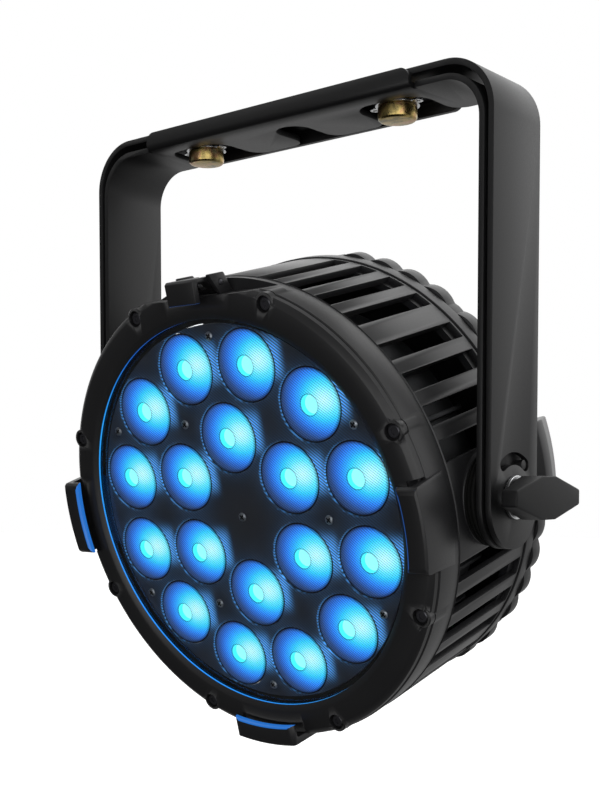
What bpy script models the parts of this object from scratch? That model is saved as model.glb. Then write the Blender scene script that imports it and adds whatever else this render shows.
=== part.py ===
"""A stage par can light: an 18-lens LED head hung in a double strap yoke.

Row frame: +Z up, X along the tilt axis, the lamp's front faces -Y and is tipped 15 degrees down.
The origin is the middle of the yoke's top face, where the truss clamp holds it.
The lamp's own frame has Z along the beam, X along the tilt axis and Y upwards, with its origin on
the tilt axis; the lamp's pieces are modelled there.
"""

import math

import bmesh
import bpy
from mathutils import Matrix, Vector

MM = 0.001
GAP = 0.3

# Yoke, in millimetres. Heights are above the tilt axis unless a name says otherwise.
YOKE_HALF_WIDTH = 143.8
YOKE_TOP = 216.3
STRAP_WIDTH = 45.4
STRAP_THICK = 3.1
ARM_GAP = 2.2
TOP_GAP = 4.0
OUTER_BEND_R = 28.0
INNER_BEND_R = 24.0
ARM_END_R = STRAP_WIDTH / 2
ARM_END_DROP = 3.5
FLANGE_HALF_LENGTH = 96.0
FLANGE_CORNER_R = 5.5
STUD_X = 71.0
STUD_R = 10.6
CLAMP_HOLE_R = 6.5
CRESCENT_R = 19.5
CRESCENT_HALF_WIDTH = 3.2
CRESCENT_HALF_ANGLE = 34.0
PEG_R = 2.6
ROD_R = 3.9
ROD_HOLE_R = 4.6

# Lamp head, in millimetres, in the lamp's own frame.
TILT_DOWN = 15.0
COLLAR_R = 128.6
BARREL_R = 129.0
BARREL_WALL = 3.7
COLLAR_FRONT = 48.3
VENT_FRONT = 30.5
VENT_REAR = -36.7
BARREL_REAR = -38.5
BEZEL_FRONT = 53.3
BEZEL_BACK = 48.6
BEZEL_FACE_R = 124.4
BEZEL_R = 127.9
WINDOW_R = 109.6
TOP_FLAT = 121.0
SCREW_CIRCLE_R = 123.2
GLASS_R = 113.7
GLASS_BACK = 46.5
GLASS_FRONT = 50.1
PLATE_R = 106.4
PLATE_FRONT = 45.4
PLATE_BACK = 43.4
LENS_R = 19.9
LENS_HOLE_R = 20.5
OUTER_RING_R = 86.0
INNER_RING_R = 44.5
CLIP_INNER_R = 118.5
CLIP_OUTER_R = 130.3
CLIP_FRONT = 62.5
CLIP_BACK = 58.8
CLIP_HALF_ANGLE = 10.2
LATCH_PIN_Y = 127.0
LATCH_PIN_Z = 43.7
VENT_FIRST = 14.05
VENT_PITCH = 8.45
VENT_HALF = 2.4
COVER_BACK = -72.0
LOBE_R = 131.4
LOBE_CIRCLE_R = 16.0
FOOT_R = 134.6

ORANGE_STEEL = (0.62, 0.50, 0.24)
BLACK = (0.022, 0.022, 0.023)
DARK = (0.035, 0.035, 0.037)


def clear_scene():
    for item in list(bpy.data.objects):
        bpy.data.objects.remove(item, do_unlink=True)


def make_collection(name):
    group = bpy.data.collections.new(name)
    bpy.context.scene.collection.children.link(group)
    return group


def make_material(name, colour, roughness, metallic=0.0, alpha=1.0):
    material = bpy.data.materials.new(name)
    material.use_nodes = True
    shader = material.node_tree.nodes["Principled BSDF"]
    shader.inputs["Base Color"].default_value = (*colour, 1.0)
    shader.inputs["Roughness"].default_value = roughness
    shader.inputs["Metallic"].default_value = metallic
    shader.inputs["Alpha"].default_value = alpha
    return material


clear_scene()
PARTS = make_collection("par_can_light")
CUTTERS = make_collection("cutters")


def make_frame(name, location, turn_x=0.0):
    """An empty that a group of pieces hangs from; it stands on a joint's axis."""
    frame = bpy.data.objects.new(name, None)
    frame.location = Vector(location) * MM
    frame.rotation_euler = (math.radians(turn_x), 0.0, 0.0)
    PARTS.objects.link(frame)
    return frame


AXIS = make_frame("tilt_axis_frame", (0, 0, -YOKE_TOP))
LAMP = make_frame("lamp_frame", (0, 0, -YOKE_TOP), 90.0 + TILT_DOWN)


def place(item, frame=None, at=(0, 0, 0)):
    item.parent = frame
    item.location = Vector(at) * MM
    return item


def keep(item, material, frame=None, at=(0, 0, 0)):
    """Makes an item one of the light's pieces."""
    item.data.materials.clear()
    item.data.materials.append(material)
    return place(item, frame, at)


def tool(item, frame=None, at=(0, 0, 0)):
    """Makes an item a cutter or an adder: it shapes other pieces and isn't one itself."""
    PARTS.objects.unlink(item)
    CUTTERS.objects.link(item)
    item.hide_render = True
    item.display_type = "WIRE"
    return place(item, frame, at)


def combine(item, other, operation):
    step = item.modifiers.new(operation.lower(), "BOOLEAN")
    step.operation = operation
    step.object = other


def cut(item, *others):
    for other in others:
        combine(item, other, "DIFFERENCE")


def add(item, *others):
    for other in others:
        combine(item, other, "UNION")


def object_from(name, shape, smooth=False):
    mesh = bpy.data.meshes.new(name)
    bmesh.ops.recalc_face_normals(shape, faces=shape.faces)
    shape.to_mesh(mesh)
    shape.free()
    if smooth:
        mesh.shade_smooth()
        mesh.set_sharp_from_angle(angle=math.radians(35))
    item = bpy.data.objects.new(name, mesh)
    PARTS.objects.link(item)
    return item


def turned(name, profile, steps=32, sweep=360.0):
    """A profile of (radius, height) points turned about Z; it runs down its outer side."""
    mesh = bpy.data.meshes.new(name)
    shape = bmesh.new()
    points = [shape.verts.new((radius * MM, 0, height * MM)) for radius, height in profile]
    closed = profile[0][0] > 0
    for index in range(len(points) - (0 if closed else 1)):
        shape.edges.new((points[index], points[(index + 1) % len(points)]))
    shape.to_mesh(mesh)
    shape.free()
    item = bpy.data.objects.new(name, mesh)
    PARTS.objects.link(item)
    screw = item.modifiers.new("turn", "SCREW")
    screw.angle = math.radians(sweep)
    screw.steps = steps
    screw.render_steps = steps
    screw.use_merge_vertices = True
    screw.merge_threshold = 0.00001
    screw.use_smooth_shade = False
    return item


def outline_piece(name, loops, thickness, facing="Z"):
    """A flat outline (with any holes as further loops) given a thickness, as a mesh.

    facing Z keeps the outline in XY, X puts it in YZ, and Y puts it in XZ.
    """
    curve = bpy.data.curves.new(name, "CURVE")
    curve.dimensions = "2D"
    curve.fill_mode = "BOTH"
    curve.extrude = thickness / 2 * MM
    for loop in loops:
        spline = curve.splines.new("POLY")
        spline.points.add(len(loop) - 1)
        for point, (across, along) in zip(spline.points, loop):
            point.co = (across * MM, along * MM, 0, 1)
        spline.use_cyclic_u = True
    bent = bpy.data.objects.new(name + "_outline", curve)
    PARTS.objects.link(bent)
    mesh = bpy.data.meshes.new_from_object(bent.evaluated_get(bpy.context.evaluated_depsgraph_get()))
    bpy.data.objects.remove(bent)
    turn = {
        "Z": Matrix.Identity(4),
        "X": Matrix(((0, 0, 1, 0), (1, 0, 0, 0), (0, 1, 0, 0), (0, 0, 0, 1))),
        "Y": Matrix(((1, 0, 0, 0), (0, 0, -1, 0), (0, 1, 0, 0), (0, 0, 0, 1))),
    }[facing]
    shape = bmesh.new()
    shape.from_mesh(mesh)
    bmesh.ops.remove_doubles(shape, verts=shape.verts, dist=0.00001)
    bmesh.ops.transform(shape, matrix=turn, verts=shape.verts)
    bpy.data.meshes.remove(mesh)
    return object_from(name, shape)


def arc(centre, radius, start, end, steps):
    """Points on an arc from start to end, in degrees, both ends included."""
    angles = [math.radians(start + (end - start) * index / steps) for index in range(steps + 1)]
    return [(centre[0] + radius * math.cos(a), centre[1] + radius * math.sin(a)) for a in angles]


def add_box(shape, low, high, turn_z=0.0):
    low, high = Vector(low) * MM, Vector(high) * MM
    size = high - low
    matrix = Matrix.Rotation(math.radians(turn_z), 4, "Z") @ Matrix.Translation((low + high) / 2)
    bmesh.ops.create_cube(shape, size=1.0, matrix=matrix @ Matrix.Diagonal((*size, 1.0)))


def add_rod(shape, centre, radius, low, high, segments=16, along="Z", tip_radius=None):
    """A cylinder or cone along an axis; centre holds its two other coordinates, in XYZ order."""
    tip = radius if tip_radius is None else tip_radius
    turn = {
        "Z": Matrix.Identity(4),
        "X": Matrix.Rotation(math.radians(90), 4, "Y"),
        "Y": Matrix.Rotation(math.radians(-90), 4, "X"),
    }[along]
    middle = (low + high) / 2
    place_at = {
        "Z": (centre[0], centre[1], middle),
        "X": (middle, centre[0], centre[1]),
        "Y": (centre[0], middle, centre[1]),
    }[along]
    bmesh.ops.create_cone(
        shape, cap_ends=True, segments=segments, radius1=radius * MM, radius2=tip * MM,
        depth=(high - low) * MM, matrix=Matrix.Translation(Vector(place_at) * MM) @ turn)


def add_sector(shape, profile, middle, half_angle, steps=3):
    """A closed (radius, height) outline swept round Z over a small angle."""
    start = math.radians(middle - half_angle)
    points = [shape.verts.new((r * math.cos(start) * MM, r * math.sin(start) * MM, z * MM))
              for r, z in profile]
    face = shape.faces.new(points)
    bmesh.ops.spin(shape, geom=[face, *face.edges, *face.verts], axis=(0, 0, 1),
                   angle=math.radians(2 * half_angle), steps=steps, use_duplicate=False)


def polar(radius, angle):
    return radius * math.cos(math.radians(angle)), radius * math.sin(math.radians(angle))


def boxes(name, corners):
    shape = bmesh.new()
    for low, high in corners:
        add_box(shape, low, high)
    return object_from(name, shape)


def rods(name, entries, **options):
    """Cylinders from (centre, radius, low, high) entries."""
    shape = bmesh.new()
    for centre, radius, low, high in entries:
        add_rod(shape, centre, radius, low, high, **options)
    return object_from(name, shape, smooth=True)


# ---------------------------------------------------------------------------------------- yoke

POWDER_COAT = make_material("black_powder_coat", BLACK, 0.55)
CAST_BLACK = make_material("black_cast_aluminium", BLACK, 0.5)
MOULDED_BLACK = make_material("black_moulded_nylon", DARK, 0.45)
RUBBER = make_material("black_rubber", DARK, 0.8)
ZINC = make_material("yellow_zinc", ORANGE_STEEL, 0.3, 1.0)
STEEL = make_material("bright_steel", (0.75, 0.75, 0.76), 0.25, 1.0)
BLACK_STEEL = make_material("black_screw_steel", DARK, 0.35, 0.8)
GLASS = make_material("clear_glass", (0.9, 0.95, 1.0), 0.02, 0.0, 0.15)
LENS_BLUE = make_material("lit_lens_acrylic", (0.05, 0.35, 0.9), 0.1)
BOARD_WHITE = make_material("led_board_white", (0.7, 0.7, 0.7), 0.5)
BOARD_GREEN = make_material("circuit_board", (0.05, 0.2, 0.08), 0.5)
RAW_ALUMINIUM = make_material("raw_aluminium", (0.6, 0.6, 0.62), 0.4, 1.0)


def strap_outline(half_width, top, bend, foot):
    """The end view of one bent strap: an outline of constant thickness."""
    side = half_width - bend
    outer = [(half_width, foot), *arc((side, top - bend), bend, 0, 90, 6),
             *arc((-side, top - bend), bend, 90, 180, 6), (-half_width, foot)]
    inner_bend = bend - STRAP_THICK
    inner = [(-half_width + STRAP_THICK, foot),
             *arc((-side, top - bend), inner_bend, 180, 90, 6),
             *arc((side, top - bend), inner_bend, 90, 0, 6), (half_width - STRAP_THICK, foot)]
    return outer + inner


def arm_side_outline(top):
    """The side view of a strap: straight edges above a round lower end."""
    half = STRAP_WIDTH / 2
    return [*arc((0, -ARM_END_DROP), ARM_END_R, 180, 360, 12), (half, top), (-half, top)]


def bent_strap(name, half_width, top, bend):
    foot = -ARM_END_DROP - ARM_END_R - 5
    strap = outline_piece(name, [strap_outline(half_width, top, bend, foot)], STRAP_WIDTH + 10, "Y")
    side = tool(outline_piece(name + "_side", [arm_side_outline(top + 10)], 320, "X"), AXIS)
    combine(strap, side, "INTERSECT")
    return strap


def crescent_outline():
    half = CRESCENT_HALF_ANGLE
    low, high = CRESCENT_R - CRESCENT_HALF_WIDTH, CRESCENT_R + CRESCENT_HALF_WIDTH
    right_end = polar(CRESCENT_R, 90 - half)
    left_end = polar(CRESCENT_R, 90 + half)
    return [*arc((0, 0), high, 90 - half, 90 + half, 5),
            *arc(left_end, CRESCENT_HALF_WIDTH, 90 + half, 270 + half, 4)[1:-1],
            *arc((0, 0), low, 90 + half, 90 - half, 5),
            *arc(right_end, CRESCENT_HALF_WIDTH, 270 - half, 450 - half, 4)[1:-1]]


def make_outer_yoke():
    yoke = bent_strap("outer_yoke", YOKE_HALF_WIDTH, YOKE_TOP, OUTER_BEND_R)
    rear = STRAP_WIDTH / 2 + GAP
    depth = 2 * STRAP_THICK + TOP_GAP + 0.1
    skin = 0.05
    section = [(rear - 4, YOKE_TOP - skin), (rear + 1, YOKE_TOP - skin),
               *arc((rear + STRAP_THICK - 2, YOKE_TOP - 2), 2, 80, 0, 3),
               (rear + STRAP_THICK, YOKE_TOP - depth), (rear, YOKE_TOP - depth),
               (rear, YOKE_TOP - STRAP_THICK + skin), (rear - 4, YOKE_TOP - STRAP_THICK + skin)]
    flange = outline_piece("rear_flange", [section], 2 * FLANGE_HALF_LENGTH, "X")
    tool(flange, AXIS)
    corner = FLANGE_CORNER_R
    bottom = YOKE_TOP - depth
    corners = tool(outline_piece("flange_corners", [
        [(side * (FLANGE_HALF_LENGTH + 3), bottom - 3), (side * (FLANGE_HALF_LENGTH + 3), bottom + corner),
         *[(side * (FLANGE_HALF_LENGTH - corner + x), bottom + corner - z)
           for x, z in arc((0, 0), corner, 0, 90, 5)],
         (side * (FLANGE_HALF_LENGTH - corner), bottom - 3)] for side in (1, -1)], 12, "Y"), AXIS,
        (0, rear + 4, 0))
    cut(flange, corners)
    add(yoke, flange)
    holes = rods("outer_yoke_holes", [
        ((0, 0), CLAMP_HOLE_R, YOKE_TOP - 10, YOKE_TOP + 5),
        *[((x, 0), 8.4, YOKE_TOP - 10, YOKE_TOP + 5) for x in (-STUD_X, STUD_X)]], segments=16)
    sinks = rods("stud_sinks", [((x, 0), 12.0, YOKE_TOP - 1.4, YOKE_TOP + 5)
                                for x in (-STUD_X, STUD_X)], segments=16)
    pivots = rods("outer_pivot_holes", [((0, 0), ROD_HOLE_R, -160, 160)], along="X", segments=12)
    crescent = outline_piece("crescent_slot", [crescent_outline()], 320, "X")
    cut(yoke, *[tool(item, AXIS) for item in (holes, sinks, pivots, crescent)])
    return keep(yoke, POWDER_COAT, AXIS)


def notch_outline(middle, half_width, front, corner, flare):
    """A notch that opens to the rear edge through two rounded flares."""
    rear = STRAP_WIDTH / 2
    right = [*arc((middle + half_width - corner, front + corner), corner, -90, 0, 4),
             *arc((middle + half_width + flare, rear - flare), flare, 180, 90, 3),
             (middle + half_width + flare, rear + 5)]
    return right + [(2 * middle - x, y) for x, y in reversed(right)]


def make_inner_yoke():
    half_width = YOKE_HALF_WIDTH - STRAP_THICK - ARM_GAP
    top = YOKE_TOP - STRAP_THICK - TOP_GAP
    yoke = bent_strap("inner_yoke", half_width, top, INNER_BEND_R)
    front = -STRAP_WIDTH / 2 - GAP
    bottom = top - STRAP_THICK
    skin = 0.05
    section = [(front + 4, bottom + skin), (front + 4, top - skin), (front, top - skin),
               (front, YOKE_TOP), (front - STRAP_THICK, YOKE_TOP),
               *arc((front - STRAP_THICK + 3, bottom + skin + 3), 3, 180, 270, 4)]
    lip = outline_piece("front_lip", [section], 2 * FLANGE_HALF_LENGTH, "X")
    tool(lip, AXIS)
    corner = FLANGE_CORNER_R
    corners = tool(outline_piece("lip_corners", [
        [(side * (FLANGE_HALF_LENGTH + 3), YOKE_TOP + 3), (side * (FLANGE_HALF_LENGTH + 3), YOKE_TOP - corner),
         *[(side * (FLANGE_HALF_LENGTH - corner + x), YOKE_TOP - corner + z)
           for x, z in arc((0, 0), corner, 0, 90, 5)],
         (side * (FLANGE_HALF_LENGTH - corner), YOKE_TOP + 3)] for side in (1, -1)], 12, "Y"), AXIS,
        (0, front - 4, 0))
    cut(lip, corners)
    add(yoke, lip)
    peg_angle = 90 - (CRESCENT_HALF_ANGLE - 1.2)
    peg_y, peg_z = polar(CRESCENT_R, peg_angle)
    pegs = rods("limit_pegs", [((peg_y, peg_z), PEG_R, low, low + 6.4)
                               for low in (half_width - 1.8, -half_width - 4.6)],
                along="X", segments=10)
    add(yoke, tool(pegs, AXIS))
    notches = outline_piece("stud_notches", [
        notch_outline(-STUD_X, 22.0, -13.2, 13.0, 9.5),
        notch_outline(0.0, 11.0, -11.2, 10.9, 9.0),
        notch_outline(STUD_X, 22.0, -13.2, 13.0, 9.5)], 20)
    pivots = rods("inner_pivot_holes", [((0, 0), ROD_HOLE_R, -160, 160)], along="X", segments=12)
    cut(yoke, tool(notches, AXIS, (0, 0, top - STRAP_THICK / 2)), tool(pivots, AXIS))
    return keep(yoke, POWDER_COAT, AXIS)


def make_stud(side, x):
    """A captive threaded stud for a clamp bolt: flange, neck, and a long smooth head below."""
    floor = YOKE_TOP - 17.3
    under = YOKE_TOP - STRAP_THICK - GAP
    groove = YOKE_TOP - 9.0
    profile = [
        (4.3, YOKE_TOP), (11.5, YOKE_TOP), (11.5, YOKE_TOP - 1.1), (8.0, YOKE_TOP - 1.1),
        (8.0, under), (STUD_R, under), (STUD_R, groove + 0.9), (9.0, groove + 0.9),
        (9.0, groove - 0.9), (STUD_R, groove - 0.9), (STUD_R, floor + 1.5), (9.0, floor),
        (0, floor)]
    profile = [(0, YOKE_TOP - 14), (4.3, YOKE_TOP - 14), *profile]
    keep(turned("clamp_stud_" + side, profile, 16), ZINC, AXIS, (x, 0, 0))
    clip = rods("stud_clip_" + side, [((0, 0), 12.2, groove - 0.6, groove + 0.6)], segments=16)
    ears = rods("clip_ears_" + side, [((13.6 * s, -1.0), 2.9, groove - 0.6, groove + 0.6)
                                      for s in (-1, 1)], segments=8)
    bore = rods("clip_bore_" + side, [((0, 0), 9.9, groove - 3, groove + 3)], segments=16)
    eyes = rods("clip_eyes_" + side, [((14.0 * s, -1.0), 1.2, groove - 3, groove + 3)
                                      for s in (-1, 1)], segments=8)
    mouth = boxes("clip_mouth_" + side, [((-5, 4, groove - 3), (5, 20, groove + 3))])
    add(clip, tool(ears, AXIS, (x, 0, 0)))
    cut(clip, *[tool(item, AXIS, (x, 0, 0)) for item in (bore, eyes, mouth)])
    keep(clip, STEEL, AXIS, (x, 0, 0))


# -------------------------------------------------------------------------------- tilt clamps

WASHER_LOW = YOKE_HALF_WIDTH + GAP
WASHER_THICK = 1.8
HUB_LOW = WASHER_LOW + WASHER_THICK + GAP
DISC_LOW = 129.8
DISC_HIGH = YOKE_HALF_WIDTH - 2 * STRAP_THICK - ARM_GAP - 0.4


def along_x(item, sign):
    """Lays a piece that was made along +Z out along the tilt axis, to one side."""
    turn = Matrix.Rotation(math.radians(90 * sign), 4, "Y")
    item.data.transform(turn)
    return item


def turned_along_x(name, profile, sign, steps):
    item = turned(name, profile, steps)
    item.rotation_euler = (0, math.radians(90 * sign), 0)
    return item


def make_tilt_clamp(side, sign):
    """Washer, friction disc and paddle knob with its threaded rod, on one side of the yoke."""
    disc = [(25, DISC_HIGH), (25, DISC_LOW), (ROD_HOLE_R, DISC_LOW), (ROD_HOLE_R, DISC_HIGH)]
    keep(turned_along_x("friction_disc_" + side, disc, sign, 28), RUBBER, AXIS)
    washer = [(11, WASHER_LOW + WASHER_THICK), (11, WASHER_LOW), (4.3, WASHER_LOW),
              (4.3, WASHER_LOW + WASHER_THICK)]
    keep(turned_along_x("knob_washer_" + side, washer, sign, 16), STEEL, AXIS)
    face, back = 163.6, 153.6
    paddle = [(-32, -3.9), (-7, -10.8), (7, -10.8), (32, -3.9), (32, 3.9), (7, 10.8), (-7, 10.8),
              (-32, 3.9)]
    knob = outline_piece("tilt_knob_" + side, [paddle], face - back, "X")
    knob.data.transform(Matrix.Translation((sign * (face + back) / 2 * MM, 0, 0)))
    bevel = knob.modifiers.new("soft_edges", "BEVEL")
    bevel.width = 0.9 * MM
    bevel.segments = 1
    hub = turned_along_x("knob_hub_" + side, [
        (0, back + 4), (8.9, back + 4), (9.6, HUB_LOW), (ROD_R, HUB_LOW), (ROD_R, 112),
        (0, 112)], sign, 14)
    add(knob, tool(hub, AXIS))
    keep(knob, MOULDED_BLACK, AXIS)


# -------------------------------------------------------------------------------------- head

CLIP_ANGLES = (0.0, 180.0, 270.0)
SCREW_ANGLES = [22.5 + 45.0 * index for index in range(8)]
LUG_LOW = 9.7
LUG_HIGH = 12.3
LATCH_HALF = 10.2
ARM_HALF = 9.2


def vent_angles():
    """The middles of the vent slots: four each side of every 45 degree line."""
    quarter = [VENT_FIRST + VENT_PITCH * index for index in range(4)]
    quarter += [90 - angle for angle in quarter]
    return [base + angle for base in (0, 90, 180, 270) for angle in quarter]


def lug_outline(hole):
    """Side view of a latch lug, as (height, along the beam) points."""
    loops = [[(TOP_FLAT - 3, 36.0), (TOP_FLAT - 3, 43.5), (131.7, 51.6), (131.9, 40.0),
              (TOP_FLAT, 35.1)]]
    if hole:
        loops.append(arc((LATCH_PIN_Y, LATCH_PIN_Z), 1.9, 0, 315, 7))
    return loops


def make_lamp_housing():
    profile = [
        (COLLAR_R, COLLAR_FRONT), (COLLAR_R, VENT_FRONT + 0.6), (BARREL_R, VENT_FRONT),
        (BARREL_R, BARREL_REAR), (BARREL_R - BARREL_WALL, BARREL_REAR),
        (BARREL_R - BARREL_WALL, 33.0), (118.0, 37.0), (106.9, 38.0), (106.9, 46.2), (114.2, 46.2), (114.2, COLLAR_FRONT)]
    housing = turned("lamp_housing", profile, 40)
    shape = bmesh.new()
    for angle in vent_angles():
        reach = math.radians(VENT_HALF) * BARREL_R
        add_box(shape, (118, -reach, VENT_REAR), (140, reach, VENT_FRONT), angle)
    vents = object_from("vent_slots", shape)
    flat = boxes("top_flat", [((-60, TOP_FLAT, 35.1), (60, 150, 70))])
    shape = bmesh.new()
    stem = [(CLIP_OUTER_R, 36.0), (CLIP_OUTER_R + 0.2, CLIP_FRONT - 1.2), (CLIP_OUTER_R - 1.0, CLIP_FRONT),
            (CLIP_INNER_R, CLIP_FRONT), (CLIP_INNER_R, CLIP_BACK), (126.2, CLIP_BACK), (126.2, 36.0)]
    for angle in CLIP_ANGLES:
        add_sector(shape, stem, angle, CLIP_HALF_ANGLE)
    for angle in SCREW_ANGLES:
        add_rod(shape, polar(SCREW_CIRCLE_R, angle), 6.1, 38.5, COLLAR_FRONT - 0.02, 8)
    clips = object_from("clips_and_bosses", shape)
    lugs = []
    for side in (-1, 1):
        lug = outline_piece("lug", lug_outline(True), LUG_HIGH - LUG_LOW, "X")
        middle = side * (LUG_LOW + LUG_HIGH) / 2
        lugs.append(tool(lug, LAMP, (middle, 0, 0)))
    pads = rods("pivot_pads", [((0, 0), 24.6, low, low + 9.6) for low in (119.9, -129.5)],
                along="X", segments=20)
    pivot_holes = rods("rod_holes", [((0, 0), ROD_HOLE_R, -135, 135)], along="X", segments=12)
    screw_holes = rods("screw_holes", [(polar(SCREW_CIRCLE_R, angle), 2.3, 40, 60)
                                       for angle in SCREW_ANGLES], segments=8)
    cut(housing, tool(vents, LAMP), tool(flat, LAMP))
    add(housing, tool(clips, LAMP), *lugs, tool(pads, LAMP))
    cut(housing, tool(pivot_holes, LAMP), tool(screw_holes, LAMP))
    return keep(housing, CAST_BLACK, LAMP)


def make_bezel():
    profile = [
        (BEZEL_FACE_R, BEZEL_FRONT), (126.7, 51.9), (BEZEL_R, BEZEL_BACK), (114.2, BEZEL_BACK),
        (114.2, GLASS_FRONT + GAP), (WINDOW_R, GLASS_FRONT + GAP), (WINDOW_R + 0.3, 51.6),
        (WINDOW_R + 3.0, BEZEL_FRONT)]
    bezel = turned("bezel_ring", profile, 40)
    bosses = rods("bezel_bosses", [(polar(SCREW_CIRCLE_R, angle), 6.1, BEZEL_BACK + 0.02, 52.9)
                                   for angle in SCREW_ANGLES], segments=8)
    shape = bmesh.new()
    for angle in CLIP_ANGLES:
        add_sector(shape, [(140, 40), (140, 70), (125.8, 70), (125.8, 40)], angle,
                   CLIP_HALF_ANGLE + 0.35)
    notches = object_from("clip_notches", shape)
    flat = boxes("bezel_top_flat", [((-60, TOP_FLAT, 40), (60, 150, 70))])
    holes = rods("bezel_screw_holes", [(polar(SCREW_CIRCLE_R, angle), 2.3, 40, 60)
                                       for angle in SCREW_ANGLES], segments=8)
    sinks = rods("bezel_screw_sinks", [(polar(SCREW_CIRCLE_R, angle), 4.4, 50.3, 60)
                                       for angle in SCREW_ANGLES], segments=10)
    add(bezel, tool(bosses, LAMP))
    cut(bezel, *[tool(item, LAMP) for item in (notches, flat, holes, sinks)])
    keep(bezel, CAST_BLACK, LAMP)
    for index, angle in enumerate(SCREW_ANGLES):
        screw = [(0, 52.2), (3.5, 51.7), (3.5, 50.6), (1.9, 50.6), (1.9, 41.0), (0, 41.0)]
        keep(turned("bezel_screw_%d" % (index + 1), screw, 8), BLACK_STEEL, LAMP,
             (*polar(SCREW_CIRCLE_R, angle), 0))


def make_latch():
    """The sprung keeper at the top that lets an accessory frame drop in."""
    lip_top = 131.0
    outline = [(CLIP_INNER_R, CLIP_BACK), (CLIP_INNER_R, CLIP_FRONT), (lip_top - 1.2, CLIP_FRONT),
               (lip_top, CLIP_FRONT - 1.4), (lip_top, 53.5), (128.6, 53.5), (128.6, CLIP_BACK)]
    latch = outline_piece("accessory_latch", [outline], 2 * LATCH_HALF, "X")
    arm_outline = [(lip_top - 0.1, 55.0), (lip_top - 0.1, 45.5),
                   *arc((LATCH_PIN_Y, LATCH_PIN_Z), 3.9, 20, -160, 6), (126.0, 47.8),
                   (128.7, 49.5), (128.7, 55.0)]
    arm = outline_piece("latch_arm", [arm_outline], 2 * ARM_HALF, "X")
    bore = rods("latch_bore", [((LATCH_PIN_Y, LATCH_PIN_Z), 1.9, -20, 20)], along="X", segments=8)
    add(latch, tool(arm, LAMP))
    cut(latch, tool(bore, LAMP))
    # The latch's origin is moved onto its pin, so it turns about its own origin.
    keep(latch, CAST_BLACK, LAMP, (0, LATCH_PIN_Y, LATCH_PIN_Z))
    latch.data.transform(Matrix.Translation((0, -LATCH_PIN_Y * MM, -LATCH_PIN_Z * MM)))
    pin = rods("latch_pin", [((0, 0), 1.55, -12.6, 12.6)], along="X", segments=12)
    keep(pin, STEEL, LAMP, (0, LATCH_PIN_Y, LATCH_PIN_Z))


def lens_places():
    places = [polar(OUTER_RING_R, 15 + 30 * index) for index in range(12)]
    places += [polar(INNER_RING_R, 30 + 60 * index) for index in range(6)]
    return places


def make_optics():
    glass = [(0, GLASS_FRONT), (GLASS_R, GLASS_FRONT), (GLASS_R, GLASS_BACK), (0, GLASS_BACK)]
    keep(turned("front_glass", glass, 36), GLASS, LAMP)
    plate = [(0, PLATE_FRONT), (PLATE_R, PLATE_FRONT), (PLATE_R, PLATE_BACK), (0, PLATE_BACK)]
    plate = turned("lens_plate", plate, 36)
    holes = rods("lens_holes", [(spot, LENS_HOLE_R, 40, 50) for spot in lens_places()], segments=14)
    cut(plate, tool(holes, LAMP))
    keep(plate, MOULDED_BLACK, LAMP)
    lens = [(0, 46.1), (LENS_R, 45.2), (LENS_R, 43.4), (7.0, 28.0), (0, 28.0)]
    for index, spot in enumerate(lens_places()):
        keep(turned("lens_%02d" % (index + 1), lens, 12), LENS_BLUE, LAMP, (*spot, 0))
    board = [(0, 24), (103, 24), (103, 22.4), (0, 22.4)]
    board = turned("led_board", board, 28)
    emitters = rods("led_emitters", [(spot, 3.4, 23.2, 26.2) for spot in lens_places()], segments=6)
    add(board, tool(emitters, LAMP))
    keep(board, BOARD_WHITE, LAMP)


def make_heat_sink():
    drum = [(0, 22), (104.5, 22), (104.5, -30), (101.5, -30), (101.5, 17), (0, 17)]
    sink = turned("heat_sink", drum, 32)
    shape = bmesh.new()
    for index in range(16):
        add_box(shape, (34, -1.2, -20), (103, 1.2, 18), index * 22.5 + 11.25)
    add(sink, tool(object_from("sink_fins", shape), LAMP))
    keep(sink, RAW_ALUMINIUM, LAMP)


def make_fan():
    corner = 40.0
    frame = boxes("fan_frame", [((-corner, -corner, -44), (corner, corner, -24))])
    bore = rods("fan_bore", [((0, 0), 38.2, -41.5, -10)], segments=24)
    shape = bmesh.new()
    for index in range(4):
        middle = 45 + 90 * index
        add_sector(shape, [(16, -50), (35, -50), (35, -40), (16, -40)], middle, 38, 4)
    cut(frame, tool(bore, LAMP), tool(object_from("fan_guard_windows", shape), LAMP))
    keep(frame, MOULDED_BLACK, LAMP)
    rotor = turned("fan_rotor", [(0, -25.5), (16, -25.5), (16, -40.8), (0, -40.8)], 16)
    shape = bmesh.new()
    for index in range(7):
        blade = Matrix.Rotation(math.radians(index * 360 / 7), 4, "Z")
        blade = blade @ Matrix.Translation(Vector((26, 0, -33.5)) * MM)
        blade = blade @ Matrix.Rotation(math.radians(38), 4, "X")
        size = Matrix.Diagonal((*(Vector((22, 15, 1.4)) * MM), 1.0))
        bmesh.ops.create_cube(shape, size=1.0, matrix=blade @ size)
    add(rotor, tool(object_from("fan_blades", shape), LAMP))
    keep(rotor, MOULDED_BLACK, LAMP)


def lobed_outline(radius, steps):
    """The rear cover's rim: a round bulge behind each vent slot, flat lands between groups."""
    middle_r = LOBE_R - LOBE_CIRCLE_R
    points = []
    for angle in sorted(vent_angles()):
        for index in range(steps + 1):
            offset = -4.1 + 8.2 * index / steps
            side = middle_r * math.sin(math.radians(offset))
            reach = middle_r * math.cos(math.radians(offset)) + math.sqrt(LOBE_CIRCLE_R ** 2 - side ** 2)
            points.append(polar(reach - (LOBE_R - radius), angle + offset))
        if round(angle % 90 - 39.4, 2) == 0 or round(angle % 90 - 75.95, 2) == 0:
            points.append(polar(radius - 2.2, angle + 5.6))
    return points


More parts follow.
